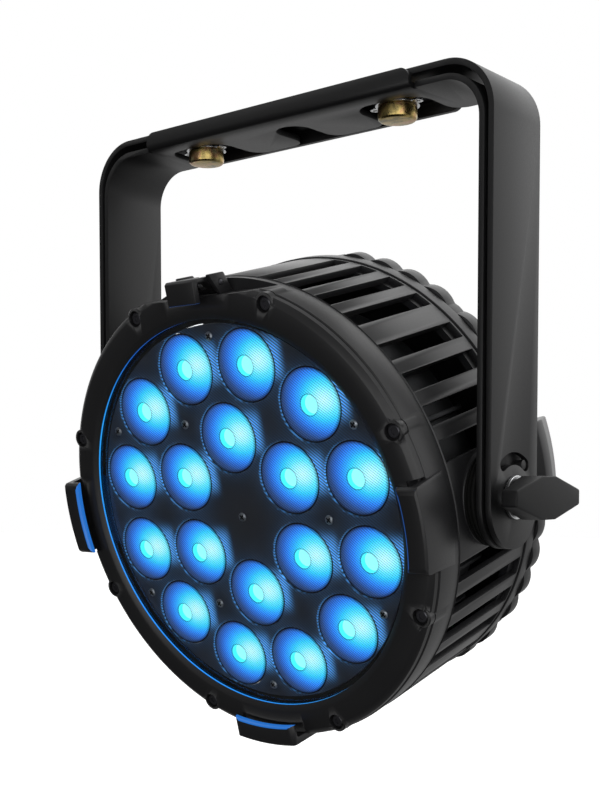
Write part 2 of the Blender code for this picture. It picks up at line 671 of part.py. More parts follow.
SOCKETS = (("power_inlet", -66.0), ("power_outlet", -22.0), ("data_inlet", 22.0), ("data_outlet", 66.0))
SOCKET_Y = -42.0
PANEL = ((-52.0, 6.0), (52.0, 62.0))
BUTTONS = (("button_menu", -36.0), ("button_down", -12.0), ("button_up", 12.0), ("button_enter", 36.0))
BUTTON_Y = 16.0


def make_rear_cover():
    front = BARREL_REAR - GAP
    wall = 3.0
    profile = [
        (129.2, front), (129.8, -47.0), (128.6, -48.0), (128.6, -55.0), (124.0, -64.0), (114.0, COVER_BACK),
        (0, COVER_BACK)]
    inside = [(0, COVER_BACK + wall), (112.5, COVER_BACK + wall), (121.0, -62.5), (125.4, -54.0),
              (125.4, front)]
    # The profile starts and ends on the axis: down the outside, then back up the inside.
    cover = turned("rear_cover", list(reversed(inside + profile)), 40)
    flip_profile(cover)
    rim = outline_piece("lobed_rim", [lobed_outline(LOBE_R, 3)], 8.0)
    bore = tool(rods("lobed_rim_bore", [((0, 0), 126.5, -70, -40)], segments=40), LAMP)
    cut(rim, bore)
    tool(rim, LAMP, (0, 0, -52.0))
    feet = []
    for side in (0, 180):
        shape = bmesh.new()
        add_sector(shape, [(128.9, -45.5), (FOOT_R, -51.5), (FOOT_R, -58.0), (129.0, COVER_BACK),
                           (126.5, COVER_BACK - 0.6), (113.2, COVER_BACK - 0.6), (113.2, -70.5),
                           (122.5, -63.2), (127.1, -54.5), (127.1, -45.5)], side, 11.6, 4)
        feet.append(tool(object_from("side_foot", shape), LAMP))
    openings = boxes("panel_window", [((PANEL[0][0] - GAP, PANEL[0][1] - GAP, -80),
                                       (PANEL[1][0] + GAP, PANEL[1][1] + GAP, -60))])
    sockets = rods("socket_holes", [((x, SOCKET_Y), 12.6, -80, -60) for _, x in SOCKETS], segments=14)
    add(cover, rim, *feet)
    cut(cover, tool(openings, LAMP), tool(sockets, LAMP))
    keep(cover, CAST_BLACK, LAMP)


def flip_profile(item):
    """Turns a profile's surface the right way out where its points run the other way."""
    item.modifiers["turn"].use_normal_flip = True


def make_rear_panel():
    back, front = COVER_BACK + 0.2, COVER_BACK + 3.2
    panel = boxes("control_panel", [((*PANEL[0], back), (*PANEL[1], front))])
    window = boxes("display_recess", [((-34, 28, -80), (34, 54, back + 0.8))])
    holes = rods("button_holes", [((x, BUTTON_Y), 4.4, -80, -60) for _, x in BUTTONS], segments=12)
    cut(panel, tool(window, LAMP), tool(holes, LAMP))
    keep(panel, MOULDED_BLACK, LAMP)
    cap = [(0, front + 1.8), (5.6, front + 1.8), (5.6, front + 0.5), (4.1, front + 0.5),
           (4.1, back - 1.5), (0, back - 1.5)]
    for name, x in BUTTONS:
        keep(turned(name, cap, 10), RUBBER, LAMP, (x, BUTTON_Y, 0))
    for name, x in SOCKETS:
        depth = COVER_BACK + 3
        outer = COVER_BACK - GAP
        body = [(0, -56), (12.0, -56), (12.0, outer), (15.5, outer), (15.5, outer - 2.4), (9.5, outer - 2.4),
                (9.5, depth + 5), (0, depth + 5)]
        socket = turned(name, body, 14)
        core_r = 4.6 if name.startswith("power") else 0.9
        spots = [(0, 0)] if name.startswith("power") else [polar(4.6, a) for a in (30, 150, 270)]
        cores = rods(name + "_core", [(spot, core_r, outer - 1.0, depth + 6.5) for spot in spots],
                     segments=6)
        add(socket, tool(cores, LAMP, (x, SOCKET_Y, 0)))
        keep(socket, MOULDED_BLACK, LAMP, (x, SOCKET_Y, 0))


def make_driver_board():
    board = boxes("driver_board", [((-62, -96, -50), (62, -52, -48.4))])
    units = boxes("board_parts", [((-50, -90, -49), (-26, -60, -36)), ((-16, -88, -49), (4, -66, -38)),
                                  ((14, -90, -49), (26, -78, -34)), ((34, -90, -49), (54, -62, -42))])
    add(board, tool(units, LAMP))
    keep(board, BOARD_GREEN, LAMP)


make_outer_yoke()
make_inner_yoke()
for yoke_side, yoke_x in (("left", -STUD_X), ("right", STUD_X)):
    make_stud(yoke_side, yoke_x)
for clamp_side, clamp_sign in (("left", -1), ("right", 1)):
    make_tilt_clamp(clamp_side, clamp_sign)
make_lamp_housing()
make_bezel()
make_latch()
make_optics()
make_heat_sink()
make_fan()
make_rear_cover()
make_rear_panel()
make_driver_board()
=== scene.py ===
"""A stage par can light: 18 lit lenses in a vented black casting, hung in a double strap yoke.

The yoke's pieces are modelled with their origin on the tilt axis. The lamp's pieces are modelled in
the lamp's own frame, with Z along the beam and Y upwards, and then tipped into place.
"""

import math

import bpy
from mathutils import Matrix, Vector


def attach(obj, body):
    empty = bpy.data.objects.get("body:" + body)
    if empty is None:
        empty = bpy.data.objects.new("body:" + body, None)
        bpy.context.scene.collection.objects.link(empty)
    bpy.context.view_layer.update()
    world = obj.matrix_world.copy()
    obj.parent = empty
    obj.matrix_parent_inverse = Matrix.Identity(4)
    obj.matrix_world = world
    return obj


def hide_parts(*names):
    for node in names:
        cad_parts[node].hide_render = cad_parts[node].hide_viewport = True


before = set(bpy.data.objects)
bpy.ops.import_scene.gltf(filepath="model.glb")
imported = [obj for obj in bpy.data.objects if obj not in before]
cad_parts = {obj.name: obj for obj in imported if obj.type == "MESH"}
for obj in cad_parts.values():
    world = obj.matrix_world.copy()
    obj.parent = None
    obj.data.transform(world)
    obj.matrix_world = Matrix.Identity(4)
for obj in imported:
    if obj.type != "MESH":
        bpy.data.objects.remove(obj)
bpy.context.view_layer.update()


def polar(radius, angle):
    return radius * math.cos(math.radians(angle)), radius * math.sin(math.radians(angle))


MM = 0.001
TILT_AXIS_Z = -0.2163
LAMP_TILT = 105
YOKE_PLACE = Matrix.Translation((0, 0, TILT_AXIS_Z))
LAMP_PLACE = YOKE_PLACE @ Matrix.Rotation(math.radians(LAMP_TILT), 4, "X")

# All lengths below are in millimetres and all angles in degrees.
STRAP_WIDTH = 45.4
STUD_X = 71
PIVOT_HOLE = 4.6
BARREL_RADIUS = 129
LENS_SPOTS = [polar(86, 15 + 30 * k) for k in range(12)] + [polar(44.5, 30 + 60 * k) for k in range(6)]
LENS_WIDTH = 39.8
LENS_HOLE = 20.17
PIT_RADIUS = 5.4
HATCH_TURN = -52
BEZEL_SCREW_SPOTS = [polar(123.2, 22.5 + 45 * k) for k in range(8)]
CLIP_ANGLES = (0, 180, 270)
LATCH_AXIS = (127, 43.7)
SOCKETS = (("power_inlet", -66), ("power_outlet", -22), ("data_inlet", 22), ("data_outlet", 66))
SOCKET_Y = -42
KEYS = (("menu", -36), ("down", -12), ("up", 12), ("enter", 36))


# ------------------------------------------------------------------------------- bench tools

def deselect():
    if bpy.context.object and bpy.context.object.mode != "OBJECT":
        bpy.ops.object.mode_set(mode="OBJECT")
    bpy.ops.object.select_all(action="DESELECT")


def pick(piece, *others):
    """Selects pieces and makes the first one active."""
    deselect()
    for item in (piece, *others):
        item.select_set(True)
    bpy.context.view_layer.objects.active = piece


def draw_chain(name, points):
    """One vertex, extruded from point to point. The piece is left in edit mode."""
    deselect()
    bpy.ops.mesh.primitive_plane_add(size=0.01)
    piece = bpy.context.object
    piece.name = name
    bpy.ops.object.mode_set(mode="EDIT")
    bpy.ops.mesh.merge(type="CENTER")
    bpy.ops.transform.translate(value=Vector(points[0]) * MM)
    for here, there in zip(points, points[1:]):
        step = (Vector(there) - Vector(here)) * MM
        bpy.ops.mesh.extrude_region_move(TRANSFORM_OT_translate={"value": step})
    bpy.ops.mesh.select_all(action="SELECT")
    bpy.ops.mesh.remove_doubles(threshold=1e-6)
    return piece


def turned(name, profile, steps=128):
    """A profile of (radius, height) points spun about Z."""
    points = [(r, 0, z) for r, z in profile]
    if profile[0][0] > 0:
        points.append(points[0])
    piece = draw_chain(name, points)
    bpy.ops.mesh.spin(steps=steps, angle=math.tau, center=(0, 0, 0), axis=(0, 0, 1))
    bpy.ops.mesh.select_all(action="SELECT")
    bpy.ops.mesh.remove_doubles(threshold=1e-6)
    bpy.ops.mesh.normals_make_consistent(inside=False)
    bpy.ops.object.mode_set(mode="OBJECT")
    return piece


def drawn(name, outline, low, high, axis="Z"):
    """A closed outline filled and extruded from low to high along an axis."""
    lay = {"Z": lambda a, b: (a, b, low), "X": lambda a, b: (low, a, b), "Y": lambda a,
           b: (a, low, b)}[axis]
    points = [lay(a, b) for a, b in outline]
    piece = draw_chain(name, points + points[:1])
    bpy.ops.mesh.edge_face_add()
    reach = Vector({"Z": (0, 0, 1), "X": (1, 0, 0), "Y": (0, 1, 0)}[axis]) * (high - low) * MM
    bpy.ops.mesh.extrude_region_move(TRANSFORM_OT_translate={"value": reach})
    bpy.ops.mesh.select_all(action="SELECT")
    bpy.ops.mesh.normals_make_consistent(inside=False)
    bpy.ops.object.mode_set(mode="OBJECT")
    return piece


def rod(name, centre, radius, low, high, axis="Z", sides=48):
    """A straight rod along an axis; centre holds the two other coordinates in XYZ order."""
    middle = (low + high) / 2
    a, b = centre
    place = {"Z": (a, b, middle), "X": (middle, a, b), "Y": (a, middle, b)}[axis]
    turn = {"Z": (0, 0, 0), "X": (0, math.pi / 2, 0), "Y": (math.pi / 2, 0, 0)}[axis]
    deselect()
    bpy.ops.mesh.primitive_cylinder_add(vertices=sides, radius=radius * MM, depth=(high - low) * MM,
                                        location=Vector(place) * MM, rotation=turn)
    piece = bpy.context.object
    piece.name = name
    bpy.ops.object.transform_apply(location=True, rotation=True, scale=True)
    return piece


def block(name, low, high, turn_z=0.0):
    """A block between two corners, then swung about Z."""
    low, high = Vector(low) * MM, Vector(high) * MM
    deselect()
    bpy.ops.mesh.primitive_cube_add(size=1, location=(low + high) / 2)
    piece = bpy.context.object
    piece.name = name
    piece.scale = high - low
    bpy.ops.object.transform_apply(location=True, rotation=True, scale=True)
    if turn_z:
        piece.rotation_euler.z = math.radians(turn_z)
        bpy.ops.object.transform_apply(location=True, rotation=True, scale=True)
    return piece


def sector(name, outline, middle, half_angle, steps):
    """A closed (radius, height) outline spun about Z over a small angle."""
    piece = draw_chain(name, [(r, 0, z) for r, z in outline + outline[:1]])
    bpy.ops.mesh.edge_face_add()
    bpy.ops.mesh.spin(steps=steps, angle=math.radians(2 * half_angle), center=(0, 0, 0), axis=(0, 0, 1))
    bpy.ops.mesh.select_all(action="SELECT")
    bpy.ops.mesh.normals_make_consistent(inside=False)
    bpy.ops.object.mode_set(mode="OBJECT")
    # Spin may run either way round, so the piece is centred on its middle angle by its own vertices.
    angles = [math.atan2(v.co.y, v.co.x) for v in piece.data.vertices]
    swing = math.radians(middle) - (min(angles) + max(angles)) / 2
    piece.data.transform(Matrix.Rotation(swing, 4, "Z"))
    return piece


def apply_step(piece, kind, **settings):
    pick(piece)
    step = piece.modifiers.new(kind.lower(), kind)
    for key, value in settings.items():
        setattr(step, key, value)
    bpy.ops.object.modifier_apply(modifier=step.name)


def gather(pieces):
    """Joins pieces that don't touch each other into one object."""
    pick(*pieces)
    if len(pieces) > 1:
        bpy.ops.object.join()
    return pieces[0]


def drop(*pieces):
    for piece in pieces:
        bpy.data.objects.remove(piece)


def combine(piece, operation, *tools):
    for tool in tools:
        apply_step(piece, "BOOLEAN", operation=operation, object=tool, solver="EXACT")
        drop(tool)
    return piece


def cut(piece, *tools):
    return combine(piece, "DIFFERENCE", *tools)


def weld(piece, *tools):
    return combine(piece, "UNION", *tools)


def soften(piece, width, segments=2, angle=30):
    """Rounds every edge sharper than angle, as paint, casting or deburring leaves it."""
    apply_step(piece, "BEVEL", width=width * MM, segments=segments, limit_method="ANGLE",
               angle_limit=math.radians(angle), miter_outer="MITER_SHARP", use_clamp_overlap=True)
    return piece


def copy_at(piece, name, shift=(0, 0, 0), turn_z=0.0, mirror_x=False):
    """A copy with a mesh of its own, swung about Z and then moved."""
    twin = piece.copy()
    twin.data = piece.data.copy()
    twin.name = name
    bpy.context.scene.collection.objects.link(twin)
    twin.data.transform(Matrix.Rotation(math.radians(turn_z), 4, "Z"))
    twin.data.transform(Matrix.Translation(Vector(shift) * MM))
    if mirror_x:
        twin.data.transform(Matrix.Scale(-1, 4, (1, 0, 0)))
        twin.data.flip_normals()
    return twin


def coat(piece, *finishes):
    for finish in finishes:
        piece.data.materials.append(finish)


def fit(piece, place, material, body, nodes=(), smooth=32):
    """Puts a finished piece in the row frame, on its body, in place of its CAD nodes."""
    pick(piece)
    bpy.ops.object.shade_smooth_by_angle(angle=math.radians(smooth))
    if not piece.data.materials:
        piece.data.materials.append(material)
    piece.matrix_world = place @ piece.matrix_world
    bpy.ops.object.transform_apply(location=True, rotation=True, scale=True)
    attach(piece, body)
    if nodes:
        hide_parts(*nodes)
    return piece


def arc(centre, radius, start, end, steps=12):
    spread = [math.radians(start + (end - start) * k / steps) for k in range(steps + 1)]
    return [(centre[0] + radius * math.cos(a), centre[1] + radius * math.sin(a)) for a in spread]


# --------------------------------------------------------------------------------- materials

def linear(colour):
    """An sRGB hex colour as linear RGBA."""
    parts = [int(colour[k:k + 2], 16) / 255 for k in (1, 3, 5)]
    return (*[p / 12.92 if p <= 0.04045 else ((p + 0.055) / 1.055) ** 2.4 for p in parts], 1.0)


def node(tree, kind, links=None, **settings):
    """Adds a node, sets its properties or input sockets, and links its inputs."""
    made = tree.nodes.new(kind)
    for key, value in settings.items():
        if hasattr(made, key):
            setattr(made, key, value)
        else:
            made.inputs[key.replace("_", " ")].default_value = value
    for socket, source in (links or {}).items():
        tree.links.new(source, made.inputs[socket])
    return made


def new_material(name, colour, roughness, metallic=0.0, **sockets):
    material = bpy.data.materials.new(name)
    material.use_nodes = True
    shader = material.node_tree.nodes["Principled BSDF"]
    shader.inputs["Base Color"].default_value = linear(colour)
    shader.inputs["Roughness"].default_value = roughness
    shader.inputs["Metallic"].default_value = metallic
    for key, value in sockets.items():
        shader.inputs[key.replace("_", " ")].default_value = value
    return material, material.node_tree, shader


def object_place(tree):
    return node(tree, "ShaderNodeTexCoord").outputs["Object"]


def noise(tree, place, size_mm, detail):
    made = node(tree, "ShaderNodeTexNoise", {"Vector": place}, Scale=1000 / size_mm, Detail=detail)
    return made.outputs["Fac"]


def map_range(tree, value, start, end=(0.0, 1.0), interpolation="LINEAR"):
    """Maps a value from one (low, high) pair to another, held within the second."""
    made = node(tree, "ShaderNodeMapRange", {"Value": value}, interpolation_type=interpolation)
    for name, setting in zip(("From Min", "From Max", "To Min", "To Max"), (*start, *end)):
        made.inputs[name].default_value = setting
    return made.outputs["Result"]


def colour_ramp(tree, factor, stops):
    """A colour for each value, blended between (position, colour) stops."""
    ramp = node(tree, "ShaderNodeValToRGB", {"Fac": factor})
    elements = ramp.color_ramp.elements
    for index, stop in ((0, stops[0]), (1, stops[-1])):
        elements[index].position = stop[0]
        elements[index].color = linear(stop[1])
    for position, colour in stops[1:-1]:
        elements.new(position).color = linear(colour)
    return ramp.outputs["Color"]


def bands(tree, place, pitch_mm, direction="X"):
    """Straight bands one pitch apart, read from coordinates in millimetres."""
    band_spacing_at_scale_one = 0.314
    made = node(tree, "ShaderNodeTexWave", {"Vector": place}, wave_type="BANDS", wave_profile="SIN",
                bands_direction=direction, Scale=band_spacing_at_scale_one / pitch_mm)
    return made.outputs["Fac"]


def scaled(tree, colour, factor):
    """A colour times a factor from another node."""
    made = node(tree, "ShaderNodeVectorMath", {0: colour, "Scale": factor}, operation="SCALE")
    return made.outputs["Vector"]


def add_bump(tree, shader, height, strength, depth_mm):
    bump = node(tree, "ShaderNodeBump", {"Height": height}, Strength=strength, Distance=depth_mm * MM)
    tree.links.new(bump.outputs["Normal"], shader.inputs["Normal"])


def add_glow(tree, shader, colour):
    tree.links.new(colour, shader.inputs["Emission Color"])
    shader.inputs["Emission Strength"].default_value = 1.0


def grainy(name, colours, roughness, grain_mm, depth_mm, metallic=0.0, **sockets):
    """A finish whose colour and roughness drift slowly and whose surface has a fine grain."""
    material, tree, shader = new_material(name, colours[0], roughness[0], metallic, **sockets)
    place = object_place(tree)
    blend = node(tree, "ShaderNodeMix", {"Factor": noise(tree, place, 34.0, 3.0)}, data_type="RGBA")
    blend.inputs["A"].default_value = linear(colours[0])
    blend.inputs["B"].default_value = linear(colours[1])
    tree.links.new(blend.outputs["Result"], shader.inputs["Base Color"])
    grain = noise(tree, place, grain_mm, 2.0)
    tree.links.new(map_range(tree, grain, (0.0, 1.0), roughness), shader.inputs["Roughness"])
    add_bump(tree, shader, grain, 0.35, depth_mm)
    return material


# Polyester powder coat on steel strap: an even satin black with a fine orange-peel grain.
powder_coat = grainy("powder_coated_steel", ("#0e0e0f", "#131314"), (0.42, 0.52), 0.9, 0.05,
                     Specular_IOR_Level=0.4)
# Powder coat over die-cast aluminium: the same black, a little rougher and less even.
cast_coat = grainy("powder_coated_casting", ("#18181a", "#1f1f20"), (0.36, 0.48), 0.8, 0.05,
                   Specular_IOR_Level=0.42)
# Glass-filled nylon as moulded: charcoal with a fine spark-eroded texture.
nylon = grainy("moulded_glass_filled_nylon", ("#0f0f10", "#151516"), (0.5, 0.62), 0.5, 0.05,
               Specular_IOR_Level=0.2)
# Moulded EPDM: dull, slightly dusty black.
rubber = grainy("moulded_epdm_rubber", ("#090909", "#0d0d0c"), (0.7, 0.85), 0.7, 0.04,
                Specular_IOR_Level=0.12)
# Bright zinc plate on pressed steel: clean silver with faint rolling marks.
bright_zinc = grainy("bright_zinc_plate", ("#b9babc", "#d2d3d4"), (0.22, 0.34), 0.6, 0.01, metallic=1.0)
# Zinc plate gone dull, on small screws.
dull_zinc = grainy("dull_zinc_plate", ("#84868a", "#a2a4a8"), (0.3, 0.42), 0.5, 0.01, metallic=0.9)
# Black oxide on screw steel: dark, oily and half glossy.
black_oxide = grainy("black_oxide_steel", ("#3c3c40", "#55555a"), (0.3, 0.42), 0.5, 0.01, metallic=0.8)
# Bare die-cast aluminium: grey with the flow marks of the casting.
bare_casting = grainy("bare_cast_aluminium", ("#3c3d3f", "#57585a"), (0.45, 0.6), 1.2, 0.04, metallic=0.8)
# Coloured nylon linings that tell the power sockets apart.
blue_nylon = grainy("blue_moulded_nylon", ("#173a86", "#1b4294"), (0.45, 0.55), 0.5, 0.02)
grey_nylon = grainy("grey_moulded_nylon", ("#8b8d90", "#97999c"), (0.45, 0.55), 0.5, 0.02)
# White ink, slightly raised.
printed_white = grainy("printed_white_ink", ("#c4c5c6", "#d2d3d4"), (0.5, 0.6), 0.6, 0.01)
# White solder mask on a metal-core board.
solder_mask = grainy("white_solder_mask", ("#c8cacc", "#d8dadc"), (0.4, 0.5), 1.0, 0.01)
# Green glass-fibre laminate.
laminate = grainy("glass_fibre_laminate", ("#0f3a1c", "#174a26"), (0.4, 0.5), 0.8, 0.01)


def make_yellow_zinc():
    """Yellow chromate over zinc: straw gold that drifts to green and rose, with darker streaks."""
    material, tree, shader = new_material("yellow_chromate_zinc", "#c9a24a", 0.28, 1.0)
    place = object_place(tree)
    film = colour_ramp(tree, noise(tree, place, 7.0, 4.0), [
        (0.28, "#4f4c34"), (0.42, "#7d7048"), (0.52, "#a8935a"), (0.61, "#a9805f"), (0.72, "#c9bb8c")])
    tree.links.new(film, shader.inputs["Base Color"])
    speck = noise(tree, place, 1.1, 3.0)
    tree.links.new(map_range(tree, speck, (0.0, 1.0), (0.16, 0.42)), shader.inputs["Roughness"])
    add_bump(tree, shader, speck, 0.3, 0.03)
    return material


def make_lens_material():
    """Clear acrylic collimator with blue emitters behind it, read from the lens's own map.

    The face is set with micro-lenses 1.25 mm apart, which break the light into a fine weave.
    """
    material, tree, shader = new_material("lit_acrylic_collimator", "#0a1a3a", 0.12, IOR=1.49)
    spot = node(tree, "ShaderNodeUVMap", uv_map="lens_face").outputs["UV"]
    from_middle = node(tree, "ShaderNodeVectorMath", {0: spot}, operation="SUBTRACT")
    from_middle.inputs[1].default_value = (0.5, 0.5, 0)
    from_middle = from_middle.outputs["Vector"]

    # A painted highlight: the face is painted nearly white to one side of its middle and navy opposite.
    painted_highlight_place = node(tree, "ShaderNodeMapping", {"Vector": from_middle}, vector_type="POINT",
                     Location=(-0.4, -0.12, 0), Scale=(1.6, 2.0, 1)).outputs["Vector"]
    painted_highlight_distance = node(tree, "ShaderNodeVectorMath", {0: painted_highlight_place}, operation="LENGTH").outputs["Value"]
    glow = colour_ramp(tree, map_range(tree, painted_highlight_distance, (0.0, 1.3)), [
        (0.0, "#c9ffff"), (0.15, "#a4f6ff"), (0.28, "#66e8ff"), (0.4, "#38d0fd"), (0.5, "#32a8fd"),
        (0.6, "#3086ee"), (0.7, "#2e68c8"), (0.82, "#2c4a80"), (1.0, "#222c42")])
    # The light fades round the pit and stops at the lens's flat rim.
    radius = node(tree, "ShaderNodeVectorMath", {0: from_middle}, operation="LENGTH").outputs["Value"]
    rims = colour_ramp(tree, map_range(tree, radius, (0.0, 0.5)), [
        (0.27, "#a0a0a0"), (0.32, "#ffffff"), (0.88, "#ffffff"), (0.95, "#a8a8a8"), (0.965, "#202020"),
        (1.0, "#141414")])
    glow = node(tree, "ShaderNodeMix", {"A": glow, "B": rims}, data_type="RGBA", blend_type="MULTIPLY")
    glow.inputs["Factor"].default_value = 1.0

    place = node(tree, "ShaderNodeMapping", {"Vector": spot}, vector_type="POINT",
                 Scale=(LENS_WIDTH, LENS_WIDTH, 1), Rotation=(0, 0,
                                                              math.radians(HATCH_TURN))).outputs["Vector"]
    both = node(tree, "ShaderNodeMath", {0: bands(tree, place, 1.25, "Y"), 2: bands(tree, place, 1.25)},
                operation="MULTIPLY_ADD")
    both.inputs[1].default_value = 0.2
    both = both.outputs["Value"]
    woven = scaled(tree, glow.outputs["Result"], map_range(tree, both, (0.0, 1.2), (0.55, 1.4)))
    add_glow(tree, shader, woven)
    # The base colour repeats the glow and its painted highlight, dimmed.
    dim = node(tree, "ShaderNodeVectorMath", {0: woven}, operation="SCALE", Scale=0.3)
    tree.links.new(dim.outputs["Vector"], shader.inputs["Base Color"])
    add_bump(tree, shader, both, 0.4, 0.1)
    return material


def make_lens_plate_material():
    """Moulded black polycarbonate, with the lenses' light painted on it as a glow beside each of them."""
    colour = "#2a2c33"
    material, tree, shader = new_material("moulded_black_polycarbonate", colour, 0.38)
    place = object_place(tree)
    add_bump(tree, shader, noise(tree, place, 0.9, 2.0), 0.3, 0.04)
    # Emission carries the painted glow stored on the plate's points.
    painted_glow = node(tree, "ShaderNodeAttribute", attribute_name="lens_spill").outputs["Color"]
    level = node(tree, "ShaderNodeMapping", {"Vector": place}, vector_type="POINT",
                 Rotation=(math.radians(-LAMP_TILT), 0, 0), Scale=(1000, 1000, 1000)).outputs["Vector"]
    turned_place = node(tree, "ShaderNodeMapping", {"Vector": level}, vector_type="POINT",
                        Rotation=(0, 0, math.radians(HATCH_TURN))).outputs["Vector"]
    woven = scaled(tree, painted_glow, map_range(tree, bands(tree, turned_place, 1.45), (0.0, 1.0), (0.1, 1.9)))
    add_glow(tree, shader, woven)
    # The painted glow tints the base colour too.
    tint = node(tree, "ShaderNodeVectorMath", {0: woven}, operation="MULTIPLY_ADD")
    tint.inputs[1].default_value = (0.4, 0.4, 0.4)
    tint.inputs[2].default_value = linear(colour)[:3]
    tree.links.new(tint.outputs["Vector"], shader.inputs["Base Color"])
    return material


def make_painted_glow_edge(name, colours):
    """A coated edge with the lenses' light painted on as a blue glow, most of it low on the left."""
    material, tree, shader = new_material(name, "#101114", 0.35)
    parts = node(tree, "ShaderNodeSeparateXYZ", {"Vector": object_place(tree)})
    lean = node(tree, "ShaderNodeMath", {0: parts.outputs["X"], 2: parts.outputs["Z"]},
                operation="MULTIPLY_ADD")
    lean.inputs[1].default_value = 0.8
    reach = map_range(tree, lean.outputs["Value"], (-0.34, -0.08))
    add_glow(tree, shader, colour_ramp(tree, reach, list(zip((0.0, 0.3, 0.6, 1.0), colours))))
    return material


yellow_zinc = make_yellow_zinc()
lens_material = make_lens_material()
# The collimator's cone sits in a black holder, so no light leaves it sideways.
collimator_wall, _, _ = new_material("black_lens_holder", "#0c0c0d", 0.6)
# The polished pit over the emitter: brim-full of light, cyan on its wall and paler on its floor.
pit_wall, _, _ = new_material("lit_pit_wall", "#0f5a6a", 0.2, Emission_Color=linear("#40f4ff"),
                              Emission_Strength=1.15)
pit_floor, _, _ = new_material("lit_pit_floor", "#2a6a70", 0.2, Emission_Color=linear("#9cffff"),
                               Emission_Strength=1.15)
plate_material = make_lens_plate_material()
window_painted_glow = make_painted_glow_edge("window_edge_painted_blue_glow", ("#2490f4", "#2aa6ff", "#1a5ec0", "#0d2a5c"))
hook_painted_glow = make_painted_glow_edge("hook_edge_painted_blue_glow", ("#1e6cc4", "#2270cc", "#1a50a0", "#143c78"))
# Tempered float glass with a low-iron body: clear, flat and mirror smooth.
float_glass, _, _ = new_material("tempered_float_glass", "#f4f8fb", 0.0, IOR=1.45,
                                 Transmission_Weight=1.0)
# Smoked acrylic over a small display: dark and glossy.
smoked_window, _, _ = new_material("smoked_acrylic_window", "#0b0d10", 0.08, IOR=1.49)


# -------------------------------------------------------------------------------------- yoke

def strap_end_view(half_width, top, bend):
    """A U seen from the end: its arms, its two bends and its flat top."""
    side = half_width - bend
    thick = 3.1
    outer = [(half_width, -30), *arc((side, top - bend), bend, 0, 90, 20),
             *arc((-side, top - bend), bend, 90, 180, 20), (-half_width, -30)]
    inner = [(thick - half_width, -30), *arc((-side, top - bend), bend - thick, 180, 90, 20),
             *arc((side, top - bend), bend - thick, 90, 0, 20), (half_width - thick, -30)]
    return outer + inner


def make_strap(name, half_width, top, bend):
    half = STRAP_WIDTH / 2
    strap = drawn(name, strap_end_view(half_width, top, bend), -30, 30, "Y")
    side = drawn("strap_side", [*arc((0, -3.5), half, 180, 360, 40), (half, 230), (-half, 230)],
                 -160, 160, "X")
    return combine(strap, "INTERSECT", side)


def folded_edge(name, section, rounded):
    """A folded-down or folded-up edge 192 mm long with its free corners rounded."""
    edge = drawn(name, section, -96, 96, "X")
    y_low = min(y for y, _ in section)
    y_high = max(y for y, _ in section)
    z, sign = rounded
    for side in (-1, 1):
        corner = [(side * 99, z + sign * 3), (side * 99, z - sign * 5.5),
                  *[(side * (90.5 + a), z - sign * (5.5 - b)) for a, b in arc((0, 0), 5.5, 0, 90, 10)],
                  (side * 90.5, z + sign * 3)]
        if sign < 0:
            cut(edge, drawn("corner", corner, y_high - 3.2, y_high + 2, "Y"))
        else:
            cut(edge, drawn("corner", corner, y_low - 2, y_low + 3.2, "Y"))
    return edge


def make_outer_strap():
    strap = make_strap("outer_strap", 143.8, 216.3, 28.0)
    section = [(17, 216.28), (22.6, 216.28), *arc((22.6, 212.8), 3.48, 90, 0, 8)[1:], (26.1, 206.1),
               (23.0, 206.1), *arc((22.2, 212.4), 0.8, 0, 90, 3), (17, 213.22)]
    weld(strap, folded_edge("rear_flange", section, (206.1, -1)))
    reliefs = gather([block("relief", (side * 97 - 1, 20.6, 212), (side * 97 + 1, 24, 218))
                      for side in (-1, 1)])
    cut(strap, reliefs)
    clamp_holes = gather([rod("clamp_hole", (0, 0), 6.5, 200, 230),
                          *[rod("stud_hole", (x, 0), 8.4, 200, 230) for x in (-STUD_X, STUD_X)]])
    sinks = gather([rod("sink", (x, 0), 12.0, 214.9, 230) for x in (-STUD_X, STUD_X)])
    crescent = [*arc((0, 0), 22.7, 56, 124, 20), *arc(polar(19.5, 124), 3.2, 124, 304, 10)[1:-1],
                *arc((0, 0), 16.3, 124, 56, 20), *arc(polar(19.5, 56), 3.2, 236, 416, 10)[1:-1]]
    cut(strap, clamp_holes, sinks, rod("pivot", (0, 0), PIVOT_HOLE, -170, 170, "X"),
        drawn("crescent", crescent, -170, 170, "X"))
    soften(strap, 0.45)
    return fit(strap, YOKE_PLACE, powder_coat, "yoke", ["outer_yoke"])


def notch(middle, half_width, front, corner, flare):
    """A notch open at the strap's edge, with round inner corners and flared lips."""
    wall = middle + half_width
    right = [*arc((wall - corner, front + corner), corner, -90, 0),
             *arc((wall + flare, STRAP_WIDTH / 2 - flare), flare, 180, 90), (wall + flare, 30)]
    return right + [(2 * middle - x, y) for x, y in reversed(right)]


def make_inner_strap():
    strap = make_strap("inner_strap", 138.5, 209.2, 24.0)
    section = [(-17, 206.12), (-22.6, 206.12), *arc((-22.6, 209.6), 3.48, 270, 180, 8)[1:],
               (-26.1, 216.3), (-23.0, 216.3), *arc((-22.2, 209.9), 0.8, 180, 270, 3), (-17, 209.18)]
    weld(strap, folded_edge("front_lip", section, (216.3, 1)))
    reliefs = gather([block("relief", (side * 97 - 1, -24, 204), (side * 97 + 1, -20.4, 211))
                      for side in (-1, 1)])
    notches = [drawn("notch", notch(*shape), 200, 214)
               for shape in ((-STUD_X, 22, -13.2, 13, 9.5), (0, 11, -11.2, 10.9, 9),
                             (STUD_X, 22, -13.2, 13, 9.5))]
    cut(strap, reliefs, gather(notches), rod("pivot", (0, 0), PIVOT_HOLE, -170, 170, "X"))
    soften(strap, 0.4)
    peg_y, peg_z = polar(19.5, 57.2)
    pegs = [rod("peg", (peg_y, peg_z), 2.6, low, low + 6.4, "X", 32) for low in (136.7, -143.1)]
    for peg in pegs:
        soften(peg, 0.4)
    strap = gather([strap, *pegs])
    return fit(strap, YOKE_PLACE, powder_coat, "swing_yoke", ["inner_yoke"])


